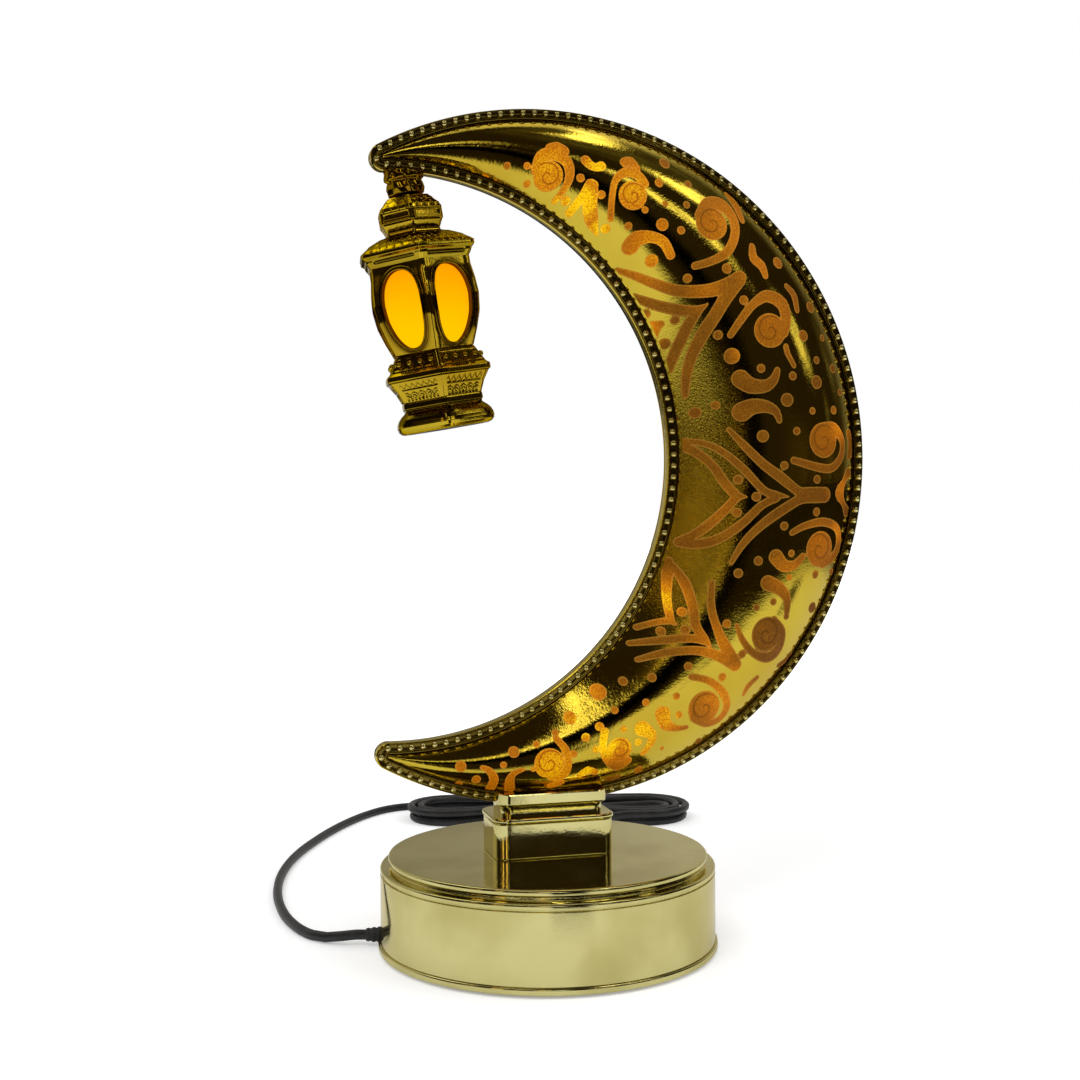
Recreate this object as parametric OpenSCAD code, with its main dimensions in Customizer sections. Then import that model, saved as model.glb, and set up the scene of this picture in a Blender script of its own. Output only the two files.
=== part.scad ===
// Eid crescent ornament: a table lamp with a beaded crescent, a six-sided lantern that hangs
// from its upper tip, a round base, and a cord that ends in a tied hank.
// Millimetres. The origin is on the table under the middle of the base. +Z is up, the front
// is -Y, and the crescent opens towards -X.

/* [Crescent] */
// Radius of the outer edge
crescent_outer_r = 99; // [94:0.5:104]
// Radius of the inner edge, as a share of the outer radius
crescent_inner_share = 0.804; // [0.78:0.002:0.83]
// Distance between the centres of the two edges, as a share of the outer radius
crescent_shift_share = 0.4324; // [0.41:0.001:0.45]
// Radius of the blunt tips
crescent_tip_r = 3.8; // [3.6:0.1:4.6]
// Width of the flat rim that carries the beads
rim_w = 3; // [2.7:0.1:3.2]
// Height of the front dome above its rim, at the widest place
front_rise = 12; // [8:0.5:16]
// Height of the rear dome above its rim, at the widest place
rear_rise = 9; // [6:0.5:14]
// Thickness of the front shell at its edge
front_edge_t = 1.6; // [1.5:0.1:2.4]
// Thickness of the rear shell at its edge
rear_edge_t = 1.6; // [1.5:0.1:2.4]
// Wall of both shells
shell_wall = 1.4; // [1:0.1:1.4]
// Thickness of the flat frame between the shells
frame_t = 1.2; // [1:0.1:1.6]

/* [Beaded border] */
// Diameter of a bead
bead_d = 2; // [1.6:0.1:2.2]
// Distance from one bead to the next
bead_pitch = 3.3; // [2.8:0.1:4.5]
// Thickness of the band under the beads
bead_band_t = 0.5; // [0.4:0.1:0.8]

/* [Base] */
// Radius of the housing's wall
base_r = 48.1; // [46:0.1:54]
// Height of the raised disc's top above the table
base_top_z = 27.4; // [26:0.2:32]
// Radius of the round shoulder between wall and shelf
shoulder_r = 3; // [2:0.5:4]
// How far the raised disc's edge stands inside the wall
disc_inset = 2.3; // [2.1:0.1:3.7]
// Height of the raised disc above the shelf
disc_h = 3; // [2.5:0.5:4]
// Radius of the disc's rolled edge
disc_edge_r = 1.5; // [1:0.1:2]
// Wall of the housing
base_wall = 2.2; // [1.8:0.1:2.6]
// How far the bottom cover's flange stands out of the wall
flange_out = 0.7; // [0.4:0.1:1.4]
// Thickness of the flange
flange_t = 2; // [1.8:0.1:2.4]
// Thickness of the foot pad
pad_t = 0.8; // [0.6:0.1:1]

/* [Neck] */
// Width of the neck block
neck_w = 34.7; // [33:0.1:40]
// Depth of the neck block
neck_d = 20; // [18:0.5:22]
// Height of the neck block
neck_h = 11.7; // [11:0.1:15]
// Width of the saddle
saddle_w = 31.8; // [29:0.1:33]
// Depth of the saddle
saddle_d = 16; // [15:0.2:17]
// Height of the saddle's lower roll
saddle_roll_h = 3.2; // [2.4:0.2:3.4]

/* [Lantern] */
// Distance of the lantern's stem from the middle of the base, towards the open side, as a
// share of the crescent's outer radius
hang_share = 0.403; // [0.385:0.005:0.425]
// Lean of the lantern from plumb, in degrees
lantern_lean = 9.5; // [5:0.5:12]
// Turn of the lantern about its own axis, in degrees
lantern_turn = 22.5; // [0:0.5:60]
// Length from the middle of the knuckle to the bottom
lantern_len = 68.8; // [64:0.2:72]
// Corner radius at the eave
eave_r = 18.2; // [17:0.1:19]
// Wall of the lantern's castings
lantern_wall = 1.4; // [1.2:0.1:1.5]
// Radius of the knuckle
knuckle_r = 5.65; // [5.4:0.05:6]
// Height of the knuckle, as a share of the lantern's length
knuckle_h_share = 0.1; // [0.095:0.001:0.102]
// Radius of the stem that the lantern turns on
stem_r = 2.4; // [2.2:0.1:2.6]

/* [Cord] */
// Diameter of the cord
cord_d = 3; // [2.8:0.1:3]

/* [Hidden] */
$fn = 48;

// Clearances, and the overrun of every cut
fit = 0.15;
slip = 0.05;
over = 1;

// Colours, as the photograph shows them
gold = [0.83, 0.66, 0.22];
black = [0.05, 0.05, 0.05];
white = [0.92, 0.92, 0.9];
steel = [0.7, 0.7, 0.72];
green = [0.1, 0.4, 0.2];
amber = [1, 0.68, 0.05];
copper = [0.8, 0.45, 0.2];

// Sizes that follow from the shares
crescent_inner_r = crescent_outer_r * crescent_inner_share;
crescent_shift = crescent_outer_r * crescent_shift_share;
hang_x = crescent_outer_r * hang_share;
knuckle_h = lantern_len * knuckle_h_share;

// Heights of the stack
flange_z = pad_t;
cover_top_z = flange_z + flange_t;
cover_step = 1.2;
cover_in_z = cover_top_z + cover_step;
ceiling_z = base_top_z - base_wall;
neck_top_z = base_top_z + neck_h;
crescent_gap = 2.4;
crescent_z = neck_top_z + crescent_gap + crescent_outer_r;

// Base: pad, cover, bosses and screws
pad_inset = 2.3;
disc_r = base_r - disc_inset;
inner_wall_r = base_r - base_wall;
boss_r = 3.2;
boss_at = inner_wall_r - boss_r - 4.7;
boss_angles = [45, 165 + 120, 165];
cover_boss_angles = [30, 105, 240, 315];
pilot_r = 1.25;
pilot_depth = 10;
screw_r = 1.2;
screw_hole_r = 1.6;
head_r = 2.6;
head_h = 1.4;
head_hole_r = 2.9;
ballast_room = 14.9;
ballast_r = inner_wall_r - ballast_room;
ballast_h = 6;
ballast_hole_r = 8;

// Neck: tongue of the frame and its screws
neck_corner_r = 4;
neck_lip_h = 1.5;
neck_lip_out = 0.4;
neck_floor_t = 2.6;
saddle_corner_r = 3;
saddle_roll_in = 1;
saddle_cover = 0.1;
tongue_w = 14;
tongue_t = 6;
tongue_z = base_top_z + neck_floor_t;
tongue_top_z = crescent_z - crescent_outer_r - fit;
neck_screw_at = 4;

// Circuit board
board_w = 42;
board_d = 26;
board_t = 1.6;
board_z = 15;
post_r = 2.4;
post_at = 17;
post_bore = 5;

// Cord outlet
exit_angle = 165;
exit_z = 3.2;
cord_r = cord_d / 2;
sleeve_r = 2.3;
sleeve_neck_r = 1.9;
sleeve_tip_r = 1.75;
sleeve_in = 5;
sleeve_out = 4.5;
sleeve_from = inner_wall_r - sleeve_in;
sleeve_to = base_r + sleeve_out;
slot_w = 2 * (sleeve_neck_r + fit);
clamp_w = 16;
clamp_l = 5;
clamp_h = 4.6;
clamp_at = sleeve_from - fit - clamp_l / 2;
lead_l = 1.6 * clamp_l;
clamp_screw_at = 5.4;

// Crescent: the circles that touch both edges have their centres on an ellipse whose two
// foci are the centres of the edges
ellipse_a = (crescent_outer_r + crescent_inner_r) / 2;
ellipse_c = crescent_shift / 2;
ellipse_b = sqrt(ellipse_a * ellipse_a - ellipse_c * ellipse_c);
mean_half_w = (crescent_outer_r - crescent_inner_r) / 2;
widest = mean_half_w + ellipse_c;
tip_phi = acos((crescent_tip_r - mean_half_w) / ellipse_c);
arc_steps = 54;
fan_steps = 6;
ray_count = 2 * (arc_steps + fan_steps);
DOME_SHARES = [0.9, 0.72, 0.48, 0.28, 0.12, 0];
HOLLOW_SHARES = [0, 0.28, 0.72];
dome_power = 2.3;
taper_power = 0.75;
hollow_inset = rim_w + 0.1 * rim_w;
front_y = -frame_t / 2;
rear_y = frame_t / 2;

// Light strip
strip_w = 5;
strip_t = 0.4;
strip_phi = 92;
strip_steps = 46;
chip_count = 24;
chip_size = [3.5, 0.8, 2.8];

// Lantern: tiers from the top, as shares of its length and of the eave's corner radius
CAP_SHARES = [
  [0.055, 0.36], [0.075, 0.43], [0.095, 0.51], [0.115, 0.555], [0.157, 0.555],
  [0.165, 0.53], [0.195, 0.47], [0.205, 0.48], [0.212, 0.56], [0.222, 0.67],
  [0.238, 0.8], [0.258, 0.92], [0.274, 1], [0.286, 1], [0.296, 0.94],
  [0.308, 0.93], [0.33, 0.87]
];
CAGE_SHARES = [
  [0.33, 0.86], [0.36, 0.86], [0.42, 0.9], [0.48, 0.92], [0.55, 0.885], [0.62, 0.79],
  [0.682, 0.685]
];
FOOT_SHARES = [
  [0.682, 0.685], [0.69, 0.71], [0.755, 0.86], [0.765, 0.92], [0.785, 0.92], [0.792, 0.88],
  [0.83, 0.775], [0.885, 0.68], [0.895, 0.705], [0.918, 0.705], [0.926, 0.66],
  [0.936, 0.75], [0.955, 0.85], [0.975, 0.865], [0.992, 0.81], [1, 0.76]
];
hex_sides = 6;
wall_r = lantern_wall / cos(180 / hex_sides);
cap_plate_share = 0.088;
foot_floor_share = 0.706;
cap_top = lantern_len * CAP_SHARES[0][0];
cap_plate = lantern_len * cap_plate_share;
cage_top = lantern_len * CAGE_SHARES[0][0];
cage_bottom = lantern_len * CAGE_SHARES[len(CAGE_SHARES) - 1][0];
foot_floor = lantern_len * foot_floor_share;
edge_half = sqrt(crescent_inner_r * crescent_inner_r - pow(crescent_shift - hang_x, 2));
hang_z = crescent_z + edge_half - knuckle_h / 2;
knuckle_bulge = 0.5;
tab_w = 7;
tab_depth = 1.5;
stem_bore_r = 1.2;
groove_r = 1.9;
groove_h = 0.7;
stem_end = 1;
clip_r = 4;
clip_t = 0.6;
clip_mouth = 2.4;
lead_r = 0.45;
lamp_board_r = 8;
lamp_board_t = 1.2;
lamp_size = 5;
lamp_h = 1.6;
diffuser_wall = 0.8;
window_top_share = 0.352;
window_bottom_share = 0.668;
window_half_share = 0.338;
window_egg = 0.07;
band_bead_d = 2;
band_beads = 4;
band_bead_share = 0.722;
bottom_plug_t = 1.4;

// Cord route on the table, from the outlet round the left side to the hank
CORD_POINTS = [
  [-57.6, 15.8, 2.7], [-61.7, 18.7, 1.9], [-65.3, 23.4, 1.55], [-67.9, 29.8, 1.5],
  [-69.7, 37.4, 1.5], [-71, 46.5, 1.5], [-71.5, 58, 1.5], [-71.3, 70, 1.5], [-70, 84, 1.5], [-67.5, 99, 1.5],
  [-63.5, 115, 1.5], [-58, 131, 1.5], [-51, 147, 1.5], [-43, 163, 1.5], [-34, 178, 1.5],
  [-25, 190, 1.5], [-15.5, 198.5, 1.5], [-5, 201.5, 1.5]
];
// Cord tail in the hank's own directions, from the last loop to the plug
TAIL_POINTS = [
  [33, -18.25, 5], [27, -19.5, 4.6], [20, -23, 3.6], [13, -28, 2.5], [7, -34, 1.8],
  [3, -41, 1.9], [1, -47, 2.8], [0, -53, 3.5]
];
cord_step = 8;
cord_sides = 8;

// Hank: one unbroken tube that winds in on the table and out again one layer up
hank_centre = [45, 170];
hank_turn = -15;
hank_half = 39;
hank_r = 18.25;
hank_pitch = 3.9;
hank_layer = cord_d + 0.5;
hank_turns = 4.5;
hank_rings = 24;
hank_sides = 6;
waist_pull = 7.4;
waist_lift = 1;
tie_w = 6;
tie_gap = 0.75;
tie_t = 0.8;
tie_corner_r = 2.4;

// Plug
plug_start = -57;
plug_l = 25;
plug_w = 15;
plug_h = 7;
plug_shell_l = 12;
plug_shell_w = 12;
plug_shell_h = 4.5;
plug_shell_wall = 0.3;
plug_tongue_h = 1.8;

// Geometry of the crescent

function unit(v) = v / norm(v);
function half_width(phi) = mean_half_w + ellipse_c * cos(phi);
function mid_point(phi) = [ellipse_a * cos(phi) - ellipse_c, ellipse_b * sin(phi)];
function outward(phi) = unit(mid_point(phi));
function inward(phi) = unit([-crescent_shift, 0] - mid_point(phi));
function angle_of(v) = atan2(v.y, v.x);

// A ray starts on the ellipse and ends on the edge: [start, direction, length]
function edge_ray(phi, direction) = [mid_point(phi), direction, half_width(phi)];
function fan_ray(phi, from, to, share) =
  let (a = from + (to - from) * share)
  [mid_point(phi), [cos(a), sin(a)], half_width(phi)];
function phi_at(i) = tip_phi * (2 * i / arc_steps - 1);
function upper_fan(k) =
  let (from = angle_of(outward(tip_phi)), to = angle_of(inward(tip_phi)) + 360)
  fan_ray(tip_phi, from, to, k / fan_steps);
function lower_fan(k) =
  let (from = angle_of(inward(-tip_phi)), to = angle_of(outward(-tip_phi)) + 360)
  fan_ray(-tip_phi, from, to, k / fan_steps);
RAYS = concat(
  [for (i = [0:arc_steps]) edge_ray(phi_at(i), outward(phi_at(i)))],
  [for (k = [1:fan_steps - 1]) upper_fan(k)],
  [for (i = [arc_steps:-1:0]) edge_ray(phi_at(i), inward(phi_at(i)))],
  [for (k = [1:fan_steps - 1]) lower_fan(k)]
);
function outline(inset) = [for (r = RAYS) r[0] + r[1] * (r[2] - inset)];

// How high a dome stands at a ray's own length, and how that falls towards the rim
function rise_at(rise, length) = rise * pow((length - rim_w) / (widest - rim_w), taper_power);
function dome_at(share) = 1 - pow(1 - share, dome_power);

// One ring of a shell: inset from the edge, then a share of the way to the middle line
function shell_ring(side, y, inset, share, edge, rise) = [
  for (r = RAYS)
    let (reach = (r[2] - inset) * (1 - share))
    let (p = r[0] + r[1] * reach)
    [p.x, y + side * (edge + rise_at(rise, r[2]) * dome_at(share)), p.y]
];
function strip_faces(rings) = [
  for (j = [0:rings - 2])
    for (i = [0:ray_count - 1])
      let (n = (i + 1) % ray_count)
      let (a = j * ray_count)
      each [[a + i, a + n, a + ray_count + i], [a + n, a + ray_count + n, a + ray_count + i]]
];
// The dome's crown, closed between the rays of its two sides and round each tip
function crown_faces(base) = concat(
  [
    for (i = [0:arc_steps - 1])
      let (q = 2 * arc_steps + fan_steps - i)
      each [[base + i, base + q, base + i + 1], [base + i + 1, base + q, base + q - 1]]
  ],
  [for (k = [1:fan_steps - 1]) [base + arc_steps, base + arc_steps + k + 1, base + arc_steps + k]],
  [
    for (k = [1:fan_steps - 1])
      let (first = 2 * arc_steps + fan_steps)
      [base + first, base + (first + k + 1) % ray_count, base + first + k]
  ]
);
function flipped(faces) = [for (f = faces) [f[0], f[2], f[1]]];

module shell(side, y, edge, rise) {
  edge_in = edge - shell_wall;
  rings = concat(
    [for (s = DOME_SHARES) shell_ring(side, y, rim_w, s, edge, rise)],
    [[for (p = outline(0)) [p.x, y + side * edge, p.y]]],
    [[for (p = outline(0)) [p.x, y, p.y]]],
    [[for (p = outline(hollow_inset)) [p.x, y, p.y]]],
    [for (s = HOLLOW_SHARES) shell_ring(side, y, hollow_inset, s, edge_in, rise)]
  );
  points = [for (ring = rings) each ring];
  last = (len(rings) - 1) * ray_count;
  faces = concat(strip_faces(len(rings)), crown_faces(0), flipped(crown_faces(last)));
  translate([0, 0, crescent_z])
    polyhedron(points = points, faces = side < 0 ? faces : flipped(faces), convexity = 8);
}

// A flat piece in the crescent's plane, from y towards the rear
module in_plane(y, thickness) {
  translate([0, y + thickness, crescent_z])
    rotate([90, 0, 0])
      linear_extrude(thickness) children();
}
module disc_in_plane(r, x, y, thickness) {
  translate([x, y + thickness, crescent_z])
    rotate([90, 0, 0]) cylinder(r = r, h = thickness, $fn = 180);
}

// General helpers

module rounded_rect(w, d, r) {
  square([w - 2 * r, d], center = true);
  square([w, d - 2 * r], center = true);
  for (x = [-1, 1], y = [-1, 1])
    translate([x * (w / 2 - r), y * (d / 2 - r)]) circle(r);
}
module block(w, d, z0, z1) {
  translate([-w / 2, -d / 2, z0]) cube([w, d, z1 - z0]);
}
module round_block(w, d, r, z0, z1) {
  translate([0, 0, z0]) linear_extrude(z1 - z0) rounded_rect(w, d, r);
}
module at_angles(angles, radius) {
  for (a = angles) rotate([0, 0, a]) translate([radius, 0, 0]) children();
}
module tube_along(points, r, sides) {
  n = len(points);
  rings = [for (i = [0:n - 1]) tube_ring(points, i, r, sides)];
  polyhedron(
    points = [for (ring = rings) each ring],
    faces = concat(
      [[for (k = [0:sides - 1]) k]],
      [[for (k = [sides - 1:-1:0]) (n - 1) * sides + k]],
      [
        for (i = [0:n - 2])
          for (k = [0:sides - 1])
            let (m = (k + 1) % sides)
            let (a = i * sides)
            each [[a + k, a + sides + k, a + m], [a + m, a + sides + k, a + sides + m]]
      ]
    )
  );
}
function tangent(points, i) =
  unit(points[min(i + 1, len(points) - 1)] - points[max(i - 1, 0)]);
function tube_ring(points, i, r, sides) =
  let (t = tangent(points, i))
  let (u = unit(cross([0, 0, 1], t)))
  let (v = cross(t, u))
  [for (k = [0:sides - 1]) let (a = 360 * k / sides) points[i] + r * (cos(a) * u + sin(a) * v)];

// A smooth line through chosen points, with a step that follows their spacing
function curve_point(p, i, t) =
  let (a = p[max(i - 1, 0)], b = p[i], c = p[i + 1], d = p[min(i + 2, len(p) - 1)])
  0.5 * (2 * b + (c - a) * t + (2 * a - 5 * b + 4 * c - d) * t * t
  + (3 * b - 3 * c + d - a) * t * t * t);
function smooth(p, step) = concat(
  [
    for (i = [0:len(p) - 2])
      let (n = max(1, round(norm(p[i + 1] - p[i]) / step)))
      for (k = [0:n - 1]) curve_point(p, i, k / n)
  ],
  [p[len(p) - 1]]
);
function path_length(p, i = 0) =
  i >= len(p) - 1 ? 0 : norm(p[i + 1] - p[i]) + path_length(p, i + 1);

// Base

module base_profile(r, top_r, z_shoulder, z_top, shoulder, edge) {
  square([r - shoulder, z_shoulder]);
  square([r, z_shoulder - shoulder]);
  translate([r - shoulder, z_shoulder - shoulder]) circle(shoulder);
  square([top_r - edge, z_top]);
  square([top_r, z_top - edge]);
  translate([top_r - edge, z_top - edge]) circle(edge);
}
module base_housing() {
  shelf_z = base_top_z - disc_h;
  color(gold) difference() {
    union() {
      difference() {
        rotate_extrude($fn = 96) intersection() {
          translate([0, 0]) square([base_r, base_top_z]);
          base_profile(base_r, disc_r, shelf_z, base_top_z, shoulder_r, disc_edge_r);
        }
        translate([0, 0, -over]) cylinder(r = inner_wall_r, h = shelf_z - shoulder_r + over);
        cylinder(r = inner_wall_r - base_wall, h = ceiling_z);
      }
      at_angles(cover_boss_angles, boss_at)
        translate([0, 0, cover_in_z]) cylinder(r = boss_r, h = ceiling_z - cover_in_z + slip);
      for (x = [-post_at, post_at])
        translate([x, 0, board_z + board_t])
          cylinder(r = post_r, h = ceiling_z - board_z - board_t + slip);
    }
    translate([0, 0, -over]) cylinder(r = base_r + over, h = cover_top_z + over);
    at_angles(cover_boss_angles, boss_at)
      translate([0, 0, cover_in_z - over]) cylinder(r = pilot_r, h = pilot_depth + over);
    for (x = [-post_at, post_at])
      translate([x, 0, board_z + board_t - over]) cylinder(r = pilot_r, h = post_bore + over);
    for (x = [-neck_screw_at, neck_screw_at])
      translate([x, 0, ceiling_z - over]) cylinder(r = screw_hole_r, h = base_wall + 2 * over);
    rotate([0, 0, exit_angle])
      translate([inner_wall_r - base_wall, -slot_w / 2, cover_top_z - over])
        cube([2 * base_wall + over, slot_w, exit_z + slot_w / 2 - cover_top_z + over]);
  }
}
module base_cover() {
  color(gold) difference() {
    union() {
      translate([0, 0, flange_z]) cylinder(r = base_r + flange_out, h = flange_t, $fn = 96);
      translate([0, 0, flange_z])
        cylinder(r = inner_wall_r - fit, h = cover_in_z - flange_z, $fn = 96);
    }
    at_angles(cover_boss_angles, boss_at) {
      translate([0, 0, flange_z - over]) cylinder(r = screw_hole_r, h = cover_in_z + over);
      translate([0, 0, flange_z - over]) cylinder(r = head_hole_r, h = head_h + slip + over);
    }
    rotate([0, 0, exit_angle]) {
      for (y = [-clamp_screw_at, clamp_screw_at])
        translate([clamp_at, y, flange_z + slip])
          cylinder(r = pilot_r, h = cover_in_z);
      translate([sleeve_from - fit, -sleeve_r - fit, flange_z - over])
        cube([base_r + over, 2 * (sleeve_r + fit), cover_in_z + over]);
      // groove that the lead lies in
      translate([sleeve_from - lead_l - cord_d, -cord_r - fit, exit_z - cord_r - fit])
        cube([lead_l + cord_d, 2 * (cord_r + fit), cord_d + over]);
    }
  }
}
module foot_pad() {
  color(black) cylinder(r = base_r - pad_inset, h = pad_t, $fn = 96);
}
module screw_up(z, length) {
  translate([0, 0, z]) cylinder(r = head_r, h = head_h);
  translate([0, 0, z + head_h - slip]) cylinder(r = screw_r, h = length - head_h + slip);
}
module cover_screws() {
  color(steel)
    at_angles(cover_boss_angles, boss_at) screw_up(flange_z + slip, cover_in_z - flange_z
      + 0.8 * pilot_depth);
}
module ballast() {
  color(steel) translate([0, 0, cover_in_z]) difference() {
    cylinder(r = ballast_r, h = ballast_h, $fn = 96);
    translate([0, 0, -over]) cylinder(r = ballast_hole_r, h = ballast_h + 2 * over);
  }
}

module circuit_board() {
  color(green) difference() {
    block(board_w, board_d, board_z, board_z + board_t);
    for (x = [-post_at, post_at])
      translate([x, 0, board_z - over]) cylinder(r = screw_hole_r, h = board_t + 2 * over);
  }
}
module board_parts() {
  under = board_z;
  top = board_z + board_t;
  share = board_d / 26;
  color(black) {
    // driver chip and inductor under the board
    translate([-6 * share, 6 * share, under - 1.5 * share])
      cube([6 * share, 4 * share, 1.5 * share]);
    translate([6 * share, 6 * share, under - 3 * share]) cylinder(r = 3 * share, h = 3 * share);
    // capacitor on top, sockets for the leads
    translate([-8 * share, -8 * share, top]) cylinder(r = 2.5 * share, h = 6 * share);
    translate([8 * share, -9 * share, top]) cube([6 * share, 4 * share, 4 * share]);
    translate([-board_w / 2, 5 * share, under - 4 * share]) cube([4 * share, 6 * share, 4 * share]);
  }
}
module board_screws() {
  color(steel) for (x = [-post_at, post_at])
    translate([x, 0, 0]) screw_up(board_z - head_h, head_h + board_t + 0.8 * post_bore);
}
module cord_clamp() {
  color(black) rotate([0, 0, exit_angle]) difference() {
    translate([clamp_at - clamp_l / 2, -clamp_w / 2, cover_in_z])
      cube([clamp_l, clamp_w, clamp_h]);
    translate([clamp_at - clamp_l, -cord_r - fit, cover_in_z - over])
      cube([2 * clamp_l, 2 * (cord_r + fit), exit_z + cord_r + fit - cover_in_z + over]);
    for (y = [-clamp_screw_at, clamp_screw_at])
      translate([clamp_at, y, cover_in_z - over]) cylinder(r = screw_hole_r, h = clamp_h
        + 2 * over);
  }
}
module clamp_screws() {
  length = clamp_h + cover_step;
  color(steel) rotate([0, 0, exit_angle]) for (y = [-clamp_screw_at, clamp_screw_at])
    translate([clamp_at, y, cover_in_z + clamp_h]) {
      cylinder(r = head_r * 0.85, h = head_h);
      translate([0, 0, -length + slip]) cylinder(r = screw_r, h = length);
    }
}
module inner_lead() {
  color(black) rotate([0, 0, exit_angle])
    tube_along(smooth([
      [sleeve_from - fit, 0, exit_z],
      [sleeve_from - clamp_l, 0, exit_z],
      [sleeve_from - lead_l, 0, exit_z + cord_d]
    ], cord_step / 4), cord_r * 0.97, cord_sides);
}
module cord_sleeve() {
  color(black) rotate([0, 0, exit_angle]) translate([0, 0, exit_z]) rotate([0, 90, 0]) {
    translate([0, 0, sleeve_from]) cylinder(r = sleeve_r, h = sleeve_in - fit);
    translate([0, 0, sleeve_from]) cylinder(r = sleeve_neck_r, h = sleeve_to - sleeve_from
      - sleeve_out / 2);
    translate([0, 0, base_r + fit])
      cylinder(r1 = sleeve_r, r2 = sleeve_tip_r, h = sleeve_out - fit);
  }
}

// Neck

module neck_block() {
  color(gold) difference() {
    union() {
      round_block(neck_w, neck_d, neck_corner_r, base_top_z, neck_top_z);
      round_block(neck_w + 2 * neck_lip_out, neck_d + 2 * neck_lip_out,
        neck_corner_r + neck_lip_out, neck_top_z - neck_lip_h, neck_top_z);
    }
    block(tongue_w + 2 * fit, tongue_t + 2 * fit, tongue_z, neck_top_z + over);
    for (x = [-neck_screw_at, neck_screw_at])
      translate([x, 0, base_top_z - over]) cylinder(r = screw_hole_r, h = neck_floor_t
        + 2 * over);
  }
}
module neck_saddle() {
  top_z = crescent_z;
  color(gold) difference() {
    union() {
      round_block(saddle_w - 2 * saddle_roll_in, saddle_d - 2 * saddle_roll_in,
        saddle_corner_r, neck_top_z, neck_top_z + saddle_roll_h + slip);
      round_block(saddle_w, saddle_d, saddle_corner_r, neck_top_z + saddle_roll_h,
        neck_top_z + 3 * saddle_roll_h);
    }
    block(tongue_w + 2 * fit, tongue_t + 2 * fit, neck_top_z - over, tongue_top_z + over);
    disc_in_plane(crescent_outer_r - rim_w - saddle_cover, 0, -saddle_d, 2 * saddle_d);
    disc_in_plane(crescent_outer_r + fit, 0, front_y - front_edge_t - fit,
      frame_t + front_edge_t + rear_edge_t + 2 * fit);
  }
}
module neck_screws() {
  z = ceiling_z - head_h;
  color(steel) for (x = [-neck_screw_at, neck_screw_at])
    translate([x, 0, 0]) screw_up(z, tongue_z - z + 0.8 * pilot_depth);
}

// Crescent

module hang() {
  translate([-hang_x, 0, hang_z]) rotate([0, -lantern_lean, 0]) children();
}
module crescent_frame() {
  color(gold) difference() {
    union() {
      in_plane(front_y, frame_t) polygon(outline(0));
      // tongue that the neck screws pull down
      block(tongue_w, tongue_t, tongue_z, tongue_top_z);
      block(tongue_w, frame_t, tongue_top_z - over, tongue_top_z + rim_w);
      // tab that the knuckle is fixed on
      hang() block(tab_w, frame_t, -tab_depth, knuckle_h / 2 + rim_w);
    }
    for (x = [-neck_screw_at, neck_screw_at])
      translate([x, 0, tongue_z - over]) cylinder(r = pilot_r, h = pilot_depth + over);
  }
}
module crescent_front_shell() {
  color(gold) shell(-1, front_y, front_edge_t, front_rise);
}
module crescent_rear_shell() {
  color(gold) shell(1, rear_y, rear_edge_t, rear_rise);
}

// Beads stand on a line half the rim's width inside the edge. The line is four arcs.
bead_line = rim_w / 2;
upper_out = angle_of(outward(tip_phi));
upper_in = angle_of(-inward(tip_phi));
tip_from = upper_out;
tip_to = angle_of(inward(tip_phi)) + 360;
tip_mid = mid_point(tip_phi);
function arc_beads(centre, r, from, to) =
  let (n = round(r * abs(to - from) * PI / 180 / bead_pitch))
  [for (k = [0:n - 1])
    let (a = from + (to - from) * (k + 0.5) / n) centre + r * [cos(a), sin(a)]];
BEADS = concat(
  arc_beads([0, 0], crescent_outer_r - bead_line, -upper_out, upper_out),
  arc_beads(tip_mid, crescent_tip_r - bead_line, tip_from, tip_to),
  arc_beads([-crescent_shift, 0], crescent_inner_r + bead_line, upper_in, -upper_in),
  arc_beads([tip_mid.x, -tip_mid.y], crescent_tip_r - bead_line, -tip_to, -tip_from)
);
trim_gap = saddle_w / 2 + fit;
function clear_of_saddle(p) = p.y > 0 || abs(p.x) > trim_gap + bead_d / 2;

module bead(d, sunk) {
  rotate_extrude($fn = 24) {
    intersection() {
      circle(d / 2);
      square(d);
    }
    if (sunk > 0) translate([0, -sunk]) square([d / 2, sunk]);
  }
}
module bead_trim() {
  y = front_y - front_edge_t;
  edge = 0.1 * rim_w;
  color(gold) {
    difference() {
      in_plane(y - bead_band_t, bead_band_t) difference() {
        polygon(outline(edge));
        polygon(outline(rim_w));
      }
      translate([-trim_gap, y - over, crescent_z - crescent_outer_r])
        cube([2 * trim_gap, 2 * over, 2 * rim_w + 2 * over]);
    }
    for (p = BEADS)
      if (clear_of_saddle(p))
        translate([p.x, y - bead_band_t, crescent_z + p.y])
          rotate([90, 0, 0]) bead(bead_d, bead_band_t / 2);
  }
}

function strip_normal(phi) = unit(outward(phi) - inward(phi));
module light_strip() {
  side = [for (s = [-1, 1]) [
    for (i = [0:strip_steps])
      let (phi = strip_phi * (2 * i / strip_steps - 1))
      mid_point(phi) + s * strip_w / 2 * strip_normal(phi)
  ]];
  color(white) in_plane(front_y - strip_t, strip_t)
    polygon(concat(side[0], [for (i = [strip_steps:-1:0]) side[1][i]]));
}
module light_chips() {
  color(amber) for (i = [0:chip_count - 1])
    let (phi = strip_phi * (2 * (i + 0.5) / chip_count - 1))
    let (p = mid_point(phi))
    translate([p.x, front_y - strip_t - chip_size.y, crescent_z + p.y])
      rotate([0, -angle_of(strip_normal(phi)), 0])
        translate([-chip_size.z / 2, 0, -chip_size.x / 2])
          cube([chip_size.z, chip_size.y, chip_size.x]);
}

// Lantern. It is drawn upright, with the middle of the knuckle at zero and the depth below
// it as a positive number.

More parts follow.
